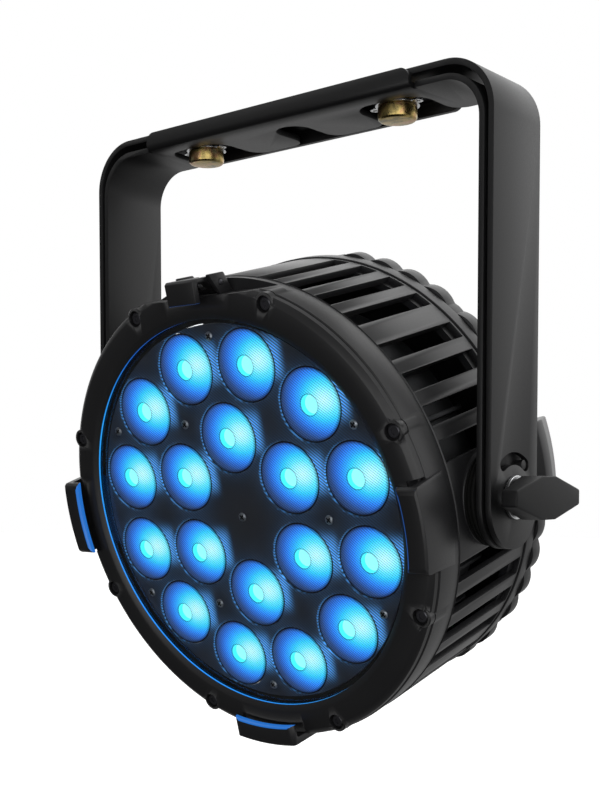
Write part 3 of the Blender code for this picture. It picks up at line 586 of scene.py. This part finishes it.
def make_studs():
    profile = [(0, 202.3), (4.3, 202.3), (4.3, 215.8), (4.8, 216.25), (11.1, 216.25), (11.5, 215.9),
               (11.5, 215.2), (8.0, 215.2), (8.0, 212.9), (10.2, 212.9), (10.6, 212.5), (10.6, 208.3),
               (9.2, 208.2), (9.2, 206.4), (10.4, 206.3), (10.6, 206.0), (10.6, 200.9), (10.3, 199.9),
               (9.5, 199.2), (8.6, 199.0), (0, 199.0)]
    stud = turned("stud", profile, 64)
    clip = rod("clip", (0, 0), 11.9, 206.85, 207.85, sides=64)
    for side in (-1, 1):
        weld(clip, rod("ear", (side * 13.6, -1.0), 2.9, 206.85, 207.85, sides=32))
    cut(clip, rod("bore", (0, 0), 9.9, 200, 212, sides=64),
        gather([rod("eye", (side * 14.0, -1.0), 1.25, 200, 212, sides=24) for side in (-1, 1)]),
        block("mouth", (-5, 4, 200), (5, 20, 212)))
    soften(clip, 0.15)
    for side, x in (("left", -STUD_X), ("right", STUD_X)):
        fit(copy_at(stud, "turned_stud_" + side, (x, 0, 0)), YOKE_PLACE, yellow_zinc, "yoke",
            ["clamp_stud_" + side])
        fit(copy_at(clip, "spring_clip_" + side, (x, 0, 0)), YOKE_PLACE, bright_zinc, "yoke",
            ["stud_clip_" + side])
    drop(stud, clip)


# ------------------------------------------------------------------------------- tilt clamps

def lay_along_x(piece):
    """Lays a piece that was turned about Z along +X."""
    piece.data.transform(Matrix.Rotation(math.pi / 2, 4, "Y"))
    return piece


def make_knobs():
    """Paddles with six flats on the face, hollowed behind, on a round hub with a threaded rod."""
    outline = [(-32, -3.9), (-7, -10.8), (7, -10.8), (32, -3.9), (32, 3.9), (7, 10.8), (-7, 10.8),
               (-32, 3.9)]
    paddle = drawn("paddle", outline, 151.0, 163.6, "X")
    hollow = [(140, -40), (154.8, -40), (154.8, -31), (154.2, -25), (153.1, -19), (152.0, -14),
              (151.4, -9), (151.4, 9), (152.0, 14), (153.1, 19), (154.2, 25), (154.8, 31), (154.8, 40),
              (140, 40)]
    cut(paddle, drawn("hollow", hollow, -20, 20))
    soften(paddle, 1.0, 3, 20)
    hub = turned("hub", [(0, 156), (10.2, 156), (9.9, 152.5), (9.3, 149.5), (9.6, 147.2), (9.4, 146.2),
                         (4.6, 146.2), (0, 146.2)], 64)
    weld(paddle, lay_along_x(hub))
    thread = [(0, 146.6)]
    pitch = 1.25
    height = 146.4
    while height > 113:
        thread += [(3.9, height), (3.9, height - 0.25), (3.45, height - 0.62), (3.45, height - 0.85)]
        height -= pitch
    thread += [(3.4, 112.6), (2.9, 112), (0, 112)]
    rod_piece = lay_along_x(turned("rod", thread, 40))
    washer = turned("washer", [(11, 145.7), (10.8, 145.9), (4.5, 145.9), (4.3, 145.7), (4.3, 144.3),
                               (4.5, 144.1), (10.8, 144.1), (11, 144.3)], 64)
    lay_along_x(washer)
    disc = turned("disc", [(24.6, 134.95), (25, 134.5), (25, 133.9), (24.1, 133.5), (24.1, 133.0),
                           (25, 132.7), (25, 131.9), (24.1, 131.5), (24.1, 131.0), (25, 130.7),
                           (25, 130.2), (24.6, 129.8), (4.6, 129.8), (4.6, 134.95)], 96)
    lay_along_x(disc)
    coat(rod_piece, bright_zinc)
    coat(paddle, nylon)
    paddle = gather([paddle, rod_piece])
    for side, mirror in (("right", False), ("left", True)):
        fit(copy_at(paddle, "paddle_knob_" + side, mirror_x=mirror), YOKE_PLACE, nylon, "knob_" + side,
            ["tilt_knob_" + side], smooth=28)
        fit(copy_at(washer, "flat_washer_" + side, mirror_x=mirror), YOKE_PLACE, bright_zinc,
            "washer_" + side, ["knob_washer_" + side])
        fit(copy_at(disc, "grooved_disc_" + side, mirror_x=mirror), YOKE_PLACE, rubber, "lamp",
            ["friction_disc_" + side])
    drop(paddle, washer, disc)


# --------------------------------------------------------------------------- lamp's castings

def vent_angles():
    """Eight slots in each quarter, in two groups of four."""
    quarter = [14.05 + 8.45 * k for k in range(4)]
    quarter += [90 - angle for angle in quarter]
    return [base + angle for base in (0, 90, 180, 270) for angle in quarter]


def make_housing():
    """Slotted barrel with its clips, lugs, screw bosses and pivot pads in one casting."""
    profile = [(128.0, 48.3), (128.6, 47.7), (128.6, 31.0), (128.35, 30.8), (128.6, 30.55), (129.0, 30.4),
               (129.0, -38.1), (128.6, -38.5), (125.3, -38.5), (125.3, 33.0), (118.0, 37.0),
               (107.0, 38.0), (107.0, 46.1), (114.2, 46.1), (114.2, 48.3)]
    housing = turned("barrel", profile, 192)
    reach = math.radians(2.4) * BARREL_RADIUS
    slots = [block("slot", (119, -reach, -36.7), (140, reach, 30.3), angle) for angle in vent_angles()]
    cut(housing, gather(slots))
    soften(housing, 0.45)
    # A narrow step inside the rear end of every slot, where the barrel's rear ring thickens.
    step = turned("rear_step", [(125.6, -31.6), (125.6, -38.2), (121.6, -38.2), (121.6, -31.6)], 192)
    front_step = turned("front_step", [(125.6, 30.0), (125.6, 27.4), (122.6, 27.4), (122.6, 31.0),
                                       (124.6, 31.0)], 192)
    cut(housing, block("top_flat", (-48, 121, 35.1), (48, 150, 70)))
    bosses = [rod("boss", spot, 6.1, 38.5, 48.28, sides=40) for spot in BEZEL_SCREW_SPOTS]
    weld(housing, gather(bosses))
    for side in (-1, 1):
        outline = [(118, 36.0), (118, 43.5), (131.5, 51.6), (131.9, 50.9), (131.9, 40.6), (131.4, 40.0),
                   (121, 35.1)]
        lug = drawn("lug", outline, *sorted((side * 9.7, side * 12.3)), "X")
        soften(lug, 0.35)
        weld(housing, lug)
        cut(housing, rod("lug_hole", LATCH_AXIS, 1.75, *sorted((side * 9, side * 13)), "X", 32))
        pad = lay_along_x(turned("pad", [(0, 129.5), (23.9, 129.5), (24.5, 128.9), (24.5, 120.2),
                                         (0, 120.2)], 96))
        if side < 0:
            pad.data.transform(Matrix.Rotation(math.pi, 4, "Y"))
        weld(housing, pad)
    cut(housing, rod("rod_hole", (0, 0), PIVOT_HOLE, -140, 140, "X"),
        gather([rod("tapped", spot, 2.0, 40, 60, sides=24) for spot in BEZEL_SCREW_SPOTS]))
    hook = [(130.3, 37.0), (130.3, 61.4), (129.2, 62.5), (119.7, 62.5), (119.0, 62.2), (118.5, 61.4),
            (118.5, 59.1), (118.8, 58.8), (125.4, 58.8), (126.2, 58.0), (126.2, 37.0)]
    ends = [(-24.0, 36), (-21.9, 60.2), (-20.4, 61.9), (-18.0, 62.6), (18.0, 62.6), (20.4, 61.9),
            (21.9, 60.2), (24.0, 36)]
    clips = []
    for angle in CLIP_ANGLES:
        clip = sector("clip", hook, angle, 12.0, 30)
        side = drawn("clip_ends", ends, 100, 140, "X")
        side.data.transform(Matrix.Rotation(math.radians(angle), 4, "Z"))
        combine(clip, "INTERSECT", side)
        soften(clip, 0.5, angle=40)
        clips.append(clip)
    housing = gather([housing, step, front_step, *clips])
    # The hooks' inner lips get a painted blue glow for the lenses' light, and a gasket lies in the seat
    # of the glass.
    coat(housing, cast_coat, hook_painted_glow, rubber)
    for face in housing.data.polygons:
        spot = face.center / MM
        reach = math.hypot(spot.x, spot.y)
        if spot.z > 58.9 and reach < 119.5 and abs(face.normal.z) < 0.97:
            face.material_index = 1
        elif 36 < spot.z < 46.6 and reach < 114.0:
            face.material_index = 2
    return fit(housing, LAMP_PLACE, cast_coat, "lamp", ["lamp_housing"])


def make_bezel():
    profile = [(124.0, 53.3), (124.6, 53.1), (126.9, 51.7), (127.5, 51.0), (127.9, 48.6), (114.2, 48.6),
               (114.2, 50.4), (109.6, 50.4), (109.6, 51.5), (110.0, 51.9), (112.6, 53.0), (113.4, 53.3)]
    bezel = turned("bezel", profile, 192)
    boss = turned("bezel_boss", [(0, 53.0), (5.4, 53.0), (5.9, 52.5), (5.9, 48.65), (0, 48.65)], 40)
    weld(bezel, gather([copy_at(boss, "bezel_boss", (*spot, 0)) for spot in BEZEL_SCREW_SPOTS]))
    drop(boss)
    opening = [(140, 40), (140, 70), (119.6, 70), (119.6, 52.0), (125.8, 52.0), (125.8, 40)]
    notches = [sector("clip_notch", opening, angle, 10.9, 24) for angle in CLIP_ANGLES]
    cut(bezel, gather(notches), block("top_flat", (-48, 121, 40), (48, 150, 70)))
    cut(bezel, gather([rod("sink", spot, 4.4, 50.3, 60, sides=40) for spot in BEZEL_SCREW_SPOTS]),
        gather([rod("hole", spot, 2.3, 40, 60, sides=24) for spot in BEZEL_SCREW_SPOTS]))
    soften(bezel, 0.4)
    coat(bezel, cast_coat, window_painted_glow)
    # Faces of the window's inner edge take the painted blue glow.
    for face in bezel.data.polygons:
        spot = face.center
        if spot.z < 51.6 * MM and math.hypot(spot.x, spot.y) < 110.0 * MM:
            face.material_index = 1
    fit(bezel, LAMP_PLACE, cast_coat, "lamp", ["bezel_ring"])
    screw = turned("screw", [(0, 51.2), (2.0, 51.2), (2.2, 51.3), (2.2, 52.15), (2.9, 52.15), (3.4, 51.7),
                             (3.5, 51.2), (3.5, 50.6), (1.9, 50.6), (1.9, 41.3), (1.6, 41.0), (0, 41.0)],
                   48)
    plug = rod("hex_fill", (0, 0), 2.6, 50.9, 52.0, sides=48)
    cut(plug, rod("hex_socket", (0, 0), 1.75, 50.6, 53, sides=6))
    weld(screw, plug)
    for index, spot in enumerate(BEZEL_SCREW_SPOTS):
        fit(copy_at(screw, "socket_screw_%d" % (index + 1), (*spot, 0)), LAMP_PLACE,
            black_oxide, "lamp", ["bezel_screw_%d" % (index + 1)])
    drop(screw)


def make_latch():
    outline = [(118.5, 58.8), (118.5, 62.5), (129.8, 62.5), (131.0, 61.1), (131.0, 53.5), (128.6, 53.5),
               (128.6, 58.0), (127.8, 58.8)]
    latch = drawn("keeper", outline, -10.2, 10.2, "X")
    soften(latch, 0.45)
    arm_outline = [(130.9, 56.0), (130.9, 45.5), *arc(LATCH_AXIS, 3.9, 20, -160, 16), (125.8, 47.6),
                   (127.2, 49.2), (128.7, 50.2), (128.7, 56.0)]
    arm = drawn("keeper_arm", arm_outline, -9.2, 9.2, "X")
    soften(arm, 0.3)
    weld(latch, arm)
    cut(latch, rod("bore", LATCH_AXIS, 1.9, -20, 20, "X", 32),
        block("middle_gap", (-3.6, 120, 40), (3.6, 140, 49.5)))
    coat(latch, cast_coat, hook_painted_glow)
    # The keeper's inner lip takes the painted blue glow.
    for face in latch.data.polygons:
        if face.center.y < 118.9 * MM and face.normal.y < -0.5:
            face.material_index = 1
    fit(latch, LAMP_PLACE, cast_coat, "latch", ["accessory_latch"])
    pin = rod("hinge_pin", LATCH_AXIS, 1.55, -12.6, 12.6, "X", 32)
    soften(pin, 0.25)
    fit(pin, LAMP_PLACE, black_oxide, "lamp", ["latch_pin"])
    wire_angles = [math.tau * k / 8 for k in range(8)]
    wire = [(2.35 + 0.35 * math.cos(a), 0.35 * math.sin(a)) for a in wire_angles]
    ring = lay_along_x(turned("spring_turn", wire, 32))
    coil = [copy_at(ring, "spring_turn", (-1.5 + k, *LATCH_AXIS)) for k in range(4)]
    drop(ring)
    fit(gather(coil), LAMP_PLACE, bright_zinc, "lamp").name = "latch_spring"


# ------------------------------------------------------------------------------------ optics

def make_glass():
    glass = turned("pane", [(0, 50.1), (113.2, 50.1), (113.7, 49.6), (113.7, 47.0), (113.2, 46.5),
                            (0, 46.5)], 192)
    fit(glass, LAMP_PLACE, float_glass, "lamp", ["front_glass"],
        smooth=20).name = "glass_pane"


def painted_glow_at(x, y):
    """Painted blue glow at a point of the lens plate, standing for light from the lenses round it, as
    linear RGB.
    """
    level = 0.0
    for lens_x, lens_y in LENS_SPOTS:
        distance = math.hypot(x - lens_x, y - lens_y)
        # A painted glow round each lens, and a painted reflection in a patch to its right.
        level += 0.035 * math.exp(-max(distance - 20.0, 0.0) / 3.6)
        across = (x - lens_x - 19.0) / 6.0
        along = (y - lens_y - 3.0) / 10.5
        level += 0.55 * math.exp(-(across ** 4) - along ** 4)
        # A painted lit rim on the left side of each hole.
        if abs(distance - LENS_HOLE) < 0.02 and x < lens_x:
            level += 0.3 * (lens_x - x) / 20
    level = min(level, 0.8)
    return 0.10 * level, 0.42 * level, level


def make_lens_plate():
    deselect()
    bpy.ops.mesh.primitive_grid_add(x_subdivisions=150, y_subdivisions=150, size=216 * MM,
                                    location=(0, 0, 43.4 * MM))
    plate = bpy.context.object
    bpy.ops.object.transform_apply(location=True)
    bpy.ops.object.mode_set(mode="EDIT")
    bpy.ops.mesh.select_all(action="SELECT")
    bpy.ops.mesh.extrude_region_move(TRANSFORM_OT_translate={"value": (0, 0, 2.0 * MM)})
    bpy.ops.mesh.select_all(action="SELECT")
    bpy.ops.mesh.normals_make_consistent(inside=False)
    bpy.ops.object.mode_set(mode="OBJECT")
    combine(plate, "INTERSECT", rod("plate_edge", (0, 0), 106.4, 40, 50, sides=192))
    cut(plate, gather([rod("lens_hole", spot, LENS_HOLE, 40, 50, sides=96) for spot in LENS_SPOTS]))
    # Each point of the plate gets its painted glow.
    painted_glow = plate.data.color_attributes.new("lens_spill", "FLOAT_COLOR", "POINT")
    for vertex, value in zip(plate.data.vertices, painted_glow.data):
        value.color = (*painted_glow_at(vertex.co.x / MM, vertex.co.y / MM), 1.0)
    fit(plate, LAMP_PLACE, plate_material, "lamp",
        ["lens_plate"]).name = "lens_cover_plate"
    head = turned("cross_screw", [(0, 46.3), (1.6, 46.25), (2.2, 46.05), (2.5, 45.75), (2.55, 45.42),
                                  (0, 45.42)], 40)
    cut(head, block("slot", (-1.7, -0.45, 45.7), (1.7, 0.45, 47)),
        block("slot", (-0.45, -1.7, 45.7), (0.45, 1.7, 47)))
    # The cross recess is painted near black as painted shade, so it reads at a distance.
    coat(head, dull_zinc, rubber)
    for face in head.data.polygons:
        spot = face.center / MM
        in_cross = 45.6 < spot.z < 46.2 and math.hypot(spot.x, spot.y) < 1.75
        if in_cross and (spot.z < 45.75 or face.normal.z < 0.2):
            face.material_index = 1
    spots = [(0, 0), *[polar(61, a) for a in (0, 120, 240)], *[polar(100, a) for a in range(30, 331, 60)]]
    heads = [copy_at(head, "cross_screw", (*spot, 0), 45) for spot in spots]
    drop(head)
    fit(gather(heads), LAMP_PLACE, dull_zinc, "lamp").name = "cross_head_screws"


def make_lenses():
    """Shallow domed face with a flat rim and a dimple in the middle, over the collimator's cone."""
    profile = [(0, 42.8), (5.1, 42.8), (5.3, 43.0), (5.35, 45.85), (5.5, 46.0), (7.5, 45.98), (12, 45.82),
               (16, 45.55), (18.4, 45.3), (18.9, 45.1), (19.2, 44.95), (19.75, 44.95), (19.9, 44.8),
               (19.9, 43.4), (19.4, 43.2), (17.0, 40.4), (13.0, 35.6), (9.0, 30.6), (7.0, 28.1),
               (6.8, 28.0), (0, 28.0)]
    lens = turned("collimator", profile, 96)
    coat(lens, lens_material, pit_wall, pit_floor, collimator_wall)
    for face in lens.data.polygons:
        spot = face.center / MM
        if math.hypot(spot.x, spot.y) < PIT_RADIUS and spot.z > 42:
            face.material_index = 2 if face.normal.z > 0.9 else 1
        elif face.normal.z < 0.1:
            face.material_index = 3
    face_map = lens.data.uv_layers.new(name="lens_face")
    width = LENS_WIDTH * MM
    for loop in lens.data.loops:
        spot = lens.data.vertices[loop.vertex_index].co
        face_map.data[loop.index].uv = (0.5 + spot.x / width, 0.5 + spot.y / width)
    for index, spot in enumerate(LENS_SPOTS):
        fit(copy_at(lens, "collimator_%02d" % (index + 1), (*spot, 0)), LAMP_PLACE, lens_material, "lamp",
            ["lens_%02d" % (index + 1)], smooth=30)
    drop(lens)


def make_insides():
    board = turned("emitter_board", [(0, 24), (102.8, 24), (103, 23.8), (103, 22.6), (102.8, 22.4),
                                     (0, 22.4)], 96)
    emitters = gather([block("emitter", (x - 2.6, y - 2.6, 23.6), (x + 2.6, y + 2.6, 26.0))
                       for x, y in LENS_SPOTS])
    soften(emitters, 0.2)
    board = gather([board, emitters])
    fit(board, LAMP_PLACE, solder_mask, "lamp", ["led_board"]).name = "emitter_board"
    sink = turned("drum", [(0, 22), (104.2, 22), (104.5, 21.7), (104.5, -29.6), (104.1, -30),
                           (101.9, -30), (101.5, -29.6), (101.5, 17), (0, 17)], 144)
    fins = gather([block("fin", (34, -1.0, -18), (102.6, 1.0, 18), k * 9 + 4.5) for k in range(40)])
    soften(fins, 0.3, 1)
    ribs = gather([block("rib", (104.0, -1.3, -28), (110.5, 1.3, 20), k * 15 + 7.5) for k in range(24)])
    soften(ribs, 0.5)
    sink = gather([sink, fins, ribs])
    fit(sink, LAMP_PLACE, bare_casting, "lamp", ["heat_sink"]).name = "finned_drum"


# -------------------------------------------------------------------------------------- rear

def lobed_rim():
    """A rim with a round bulge behind each vent slot and flat lands between the groups."""
    points = []
    for angle in sorted(vent_angles()):
        for index in range(9):
            offset = -4.1 + 8.2 * index / 8
            side = 115.4 * math.sin(math.radians(offset))
            reach = 115.4 * math.cos(math.radians(offset)) + math.sqrt(16.0 ** 2 - side ** 2)
            points.append(polar(reach, angle + offset))
        if round(angle % 90 - 39.4, 2) == 0 or round(angle % 90 - 75.95, 2) == 0:
            points.append(polar(129.2, angle + 5.6))
    rim = drawn("lobed_rim", points, -56, -48)
    return cut(rim, rod("rim_bore", (0, 0), 127.0, -60, -40, sides=128))


def make_rear_cover():
    """Cast dish with a lobed rim, a foot at each side, and seats for the panel and the sockets."""
    outside = [(129.3, -38.75), (129.8, -39.3), (129.8, -46.9), (129.3, -47.6), (128.6, -48.0),
               (128.6, -55.0), (127.9, -57.6), (125.0, -62.6), (122.6, -65.4), (116.8, -70.3),
               (113.4, -71.8), (112.2, -72.0)]
    ledge = [(105, -72), (104.4, -71.4), (103.6, -71.4), (103, -72)]
    inside = [(0, -69), (112.0, -69), (120.5, -62.5), (125.4, -54.0), (125.4, -38.75)]
    cover = turned("dished_cover", outside + ledge + [(0, -72)] + inside, 192)
    feet = []
    for side in (0, 180):
        foot = sector("side_foot", [(127.0, -45.6), (129.6, -45.6), (134.2, -50.4), (134.6, -51.8),
                                    (134.6, -57.8), (134.2, -58.8), (129.6, -71.0), (128.6, -72.0),
                                    (126.5, -72.6), (113.2, -72.6), (113.2, -70.5), (122.5, -63.2),
                                    (127.0, -54.5)], side, 11.6, 24)
        soften(foot, 1.2, 3, 50)
        feet.append(foot)
    weld(cover, lobed_rim(), *feet)
    cut(cover, block("panel_seat", (-52.3, 5.7, -80), (52.3, 62.3, -60)),
        gather([rod("socket_seat", (x, SOCKET_Y), 12.4, -80, -60, sides=64) for _, x in SOCKETS]))
    spots = [polar(96, angle) for angle in (0, 72, 108, 180, 252, 288)]
    cut(cover, gather([rod("screw_seat", spot, 4.2, -80, -70.6, sides=40) for spot in spots]))
    soften(cover, 0.4)
    fit(cover, LAMP_PLACE, cast_coat, "lamp", ["rear_cover"])
    screw = turned("cover_screw", [(0, -71.2), (1.9, -71.2), (1.9, -72.2), (2.9, -72.2), (3.4, -71.8),
                                   (3.5, -71.2), (3.5, -70.7), (0, -70.7)], 48)
    screws = gather([copy_at(screw, "cover_screw", (*spot, 0)) for spot in spots])
    drop(screw)
    fit(screws, LAMP_PLACE, black_oxide, "lamp").name = "rear_cover_screws"


def make_panel():
    """Control panel with a smoked display, and a plain mark under each key."""
    panel = block("key_panel", (-52, 6, -71.8), (52, 62, -68.8))
    cut(panel, block("display_seat", (-34, 28, -80), (34, 54, -71.0)),
        gather([rod("key_hole", (x, 16), 4.4, -80, -60, sides=48) for _, x in KEYS]))
    soften(panel, 0.35)
    fit(panel, LAMP_PLACE, nylon, "lamp", ["control_panel"]).name = "key_panel"
    window = block("display_window", (-33.7, 28.3, -71.7), (33.7, 53.7, -71.05))
    soften(window, 0.2)
    fit(window, LAMP_PLACE, smoked_window, "lamp")
    bars = gather([block("mark", (-38, y, -71.9), (-34, y + 0.6, -71.78)) for y in (7.6, 8.8, 10.0)])
    down = drawn("mark", [(-14, 10.6), (-12, 7.6), (-10, 10.6)], -71.9, -71.78)
    up = drawn("mark", [(10, 7.6), (14, 7.6), (12, 10.6)], -71.9, -71.78)
    enter = drawn("mark", [(34, 8.9), (35.8, 7.4), (35.8, 8.5), (38.4, 8.5), (38.4, 10.8), (37.6, 10.8),
                           (37.6, 9.3), (35.8, 9.3), (35.8, 10.4)], -71.9, -71.78)
    fit(gather([bars, down, up, enter]), LAMP_PLACE, printed_white, "lamp").name = "key_marks"
    key = turned("key", [(0, -67.0), (5.4, -67.0), (5.6, -67.2), (5.6, -68.1), (5.4, -68.3), (4.1, -68.3),
                         (4.1, -72.6), (3.8, -73.1), (3.2, -73.3), (2.4, -73.15), (0, -73.05)], 64)
    for name, x in KEYS:
        fit(copy_at(key, name + "_key", (x, 16, 0)), LAMP_PLACE, rubber, name + "_button",
            ["button_" + name])
    drop(key)


def make_sockets():
    """Flanged chassis sockets: a keyed centre post for power, three pins for data."""
    for name, x in SOCKETS:
        body = turned("socket", [(0, -56), (11.8, -56), (12.0, -56.2), (12.0, -72.3), (15.3, -72.3),
                                 (15.5, -72.5), (15.5, -74.2), (15.0, -74.7), (10.0, -74.7), (9.5, -74.2),
                                 (9.5, -64.0), (0, -64.0)], 96)
        screws = [rod("flange_screw", polar(12.6, angle), 1.3, -75.0, -74.4, sides=24)
                  for angle in (45, 225)]
        if name.startswith("power"):
            post = rod("post", (0, 0), 4.6, -73.3, -63.5, sides=64)
            cut(post, rod("post_bore", (0, 0), 2.6, -80, -66, sides=40),
                block("keyway", (-0.9, -6, -80), (0.9, -2, -66)))
            soften(post, 0.25)
            lining = turned("lining", [(9.5, -66), (9.5, -74.0), (9.2, -74.4), (8.4, -74.4), (8.2, -74.0),
                                       (8.2, -66)], 64)
            cut(lining, block("lining_key", (-1.6, 6, -80), (1.6, 12, -60)))
            coat(lining, blue_nylon if name == "power_inlet" else grey_nylon)
            insides = [lining, post]
        else:
            insides = [rod("pin", polar(4.6, angle), 0.9, -73.0, -63.5, sides=24)
                       for angle in (30, 150, 270)]
            for pin in insides:
                soften(pin, 0.3)
                coat(pin, bright_zinc)
        coat(body, nylon)
        for screw in screws:
            soften(screw, 0.2)
            coat(screw, bright_zinc)
        gather([body, *insides, *screws])
        body.data.transform(Matrix.Translation(Vector((x, SOCKET_Y, 0)) * MM))
        fit(body, LAMP_PLACE, nylon, "lamp", [name]).name = name + "_socket"


def finish_render_scene():
    deselect()
    bpy.ops.mesh.primitive_plane_add(size=12, location=(0, 0, -0.62))
    floor = bpy.context.object
    floor.name = "pale_floor"
    floor_finish, _, _ = new_material("pale_studio_floor", "#f4f4f4", 0.9,
                                      Emission_Color=linear("#ffffff"), Emission_Strength=0.55)
    coat(floor, floor_finish)
    # The floor only fills the view under the lamp, so it lights nothing and isn't seen in the glass.
    floor.visible_diffuse = False
    floor.visible_glossy = False
    floor.visible_transmission = False

    world = bpy.data.worlds.new("studio")
    bpy.context.scene.world = world
    world.use_nodes = True
    tree = world.node_tree
    tree.nodes.clear()
    direction = node(tree, "ShaderNodeTexCoord").outputs["Generated"]
    parts = node(tree, "ShaderNodeSeparateXYZ", {"Vector": direction})
    # It is brightest behind the lamp.
    behind = map_range(tree, parts.outputs["Y"], (0.0, 0.5), (0.17, 1.4), "SMOOTHSTEP")
    # The backdrop darkens towards the floor, so upright faces fade downwards.
    height = map_range(tree, parts.outputs["Z"], (-0.25, 0.4), (0.4, 1.25), "SMOOTHSTEP")
    level = node(tree, "ShaderNodeMath", {0: behind, 1: height}, operation="MULTIPLY")
    studio = node(tree, "ShaderNodeBackground", {"Color": level.outputs["Value"]})
    white = node(tree, "ShaderNodeBackground", Color=(1, 1, 1, 1))
    seen = node(tree, "ShaderNodeLightPath").outputs["Is Camera Ray"]
    mixed = node(tree, "ShaderNodeMixShader", {0: seen, 1: studio.outputs["Background"],
                                               2: white.outputs["Background"]})
    node(tree, "ShaderNodeOutputWorld", {"Surface": mixed.outputs["Shader"]})

    for name, place, size, power in (("key", (-1.2, -1.0, 1.3), 1.0, 4.0),
                                     ("top", (0.3, 0.5, 1.5), 1.2, 6.0),
                                     ("fill", (1.4, -1.1, -0.2), 1.4, 14.0),
                                     ("front", (0.3, -1.8, -0.5), 1.2, 10.0)):
        lamp = bpy.data.lights.new(name, "AREA")
        lamp.size = size
        lamp.energy = power
        holder = bpy.data.objects.new(name, lamp)
        holder.location = place
        aim = Vector((0, 0, -0.2)) - Vector(place)
        holder.rotation_euler = aim.to_track_quat("-Z", "Y").to_euler()
        holder.visible_camera = False
        bpy.context.scene.collection.objects.link(holder)

    camera = bpy.data.cameras.new("camera")
    camera.sensor_fit = "VERTICAL"
    camera.sensor_height = 36
    camera.lens = 53.8
    camera.shift_x = -0.008
    camera.shift_y = 0.167
    camera.clip_start = 0.01
    stand = bpy.data.objects.new("camera", camera)
    stand.location = (0.4473, -0.5292, TILT_AXIS_Z + 0.0143)
    turn, tip = math.radians(39.7), math.radians(3.1)
    stand.rotation_euler = (math.pi / 2 - tip, 0, turn)
    bpy.context.scene.collection.objects.link(stand)
    bpy.context.scene.camera = stand
    bpy.context.scene.view_settings.view_transform = "Standard"


make_outer_strap()
make_inner_strap()
make_studs()
make_knobs()
make_housing()
make_bezel()
make_latch()
make_glass()
make_lens_plate()
make_lenses()
make_insides()
make_rear_cover()
make_panel()
make_sockets()
for name, finish in (("fan_frame", nylon), ("fan_rotor", nylon), ("driver_board", laminate)):
    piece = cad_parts[name]
    for place in piece.material_slots:
        place.material = finish
finish_render_scene()
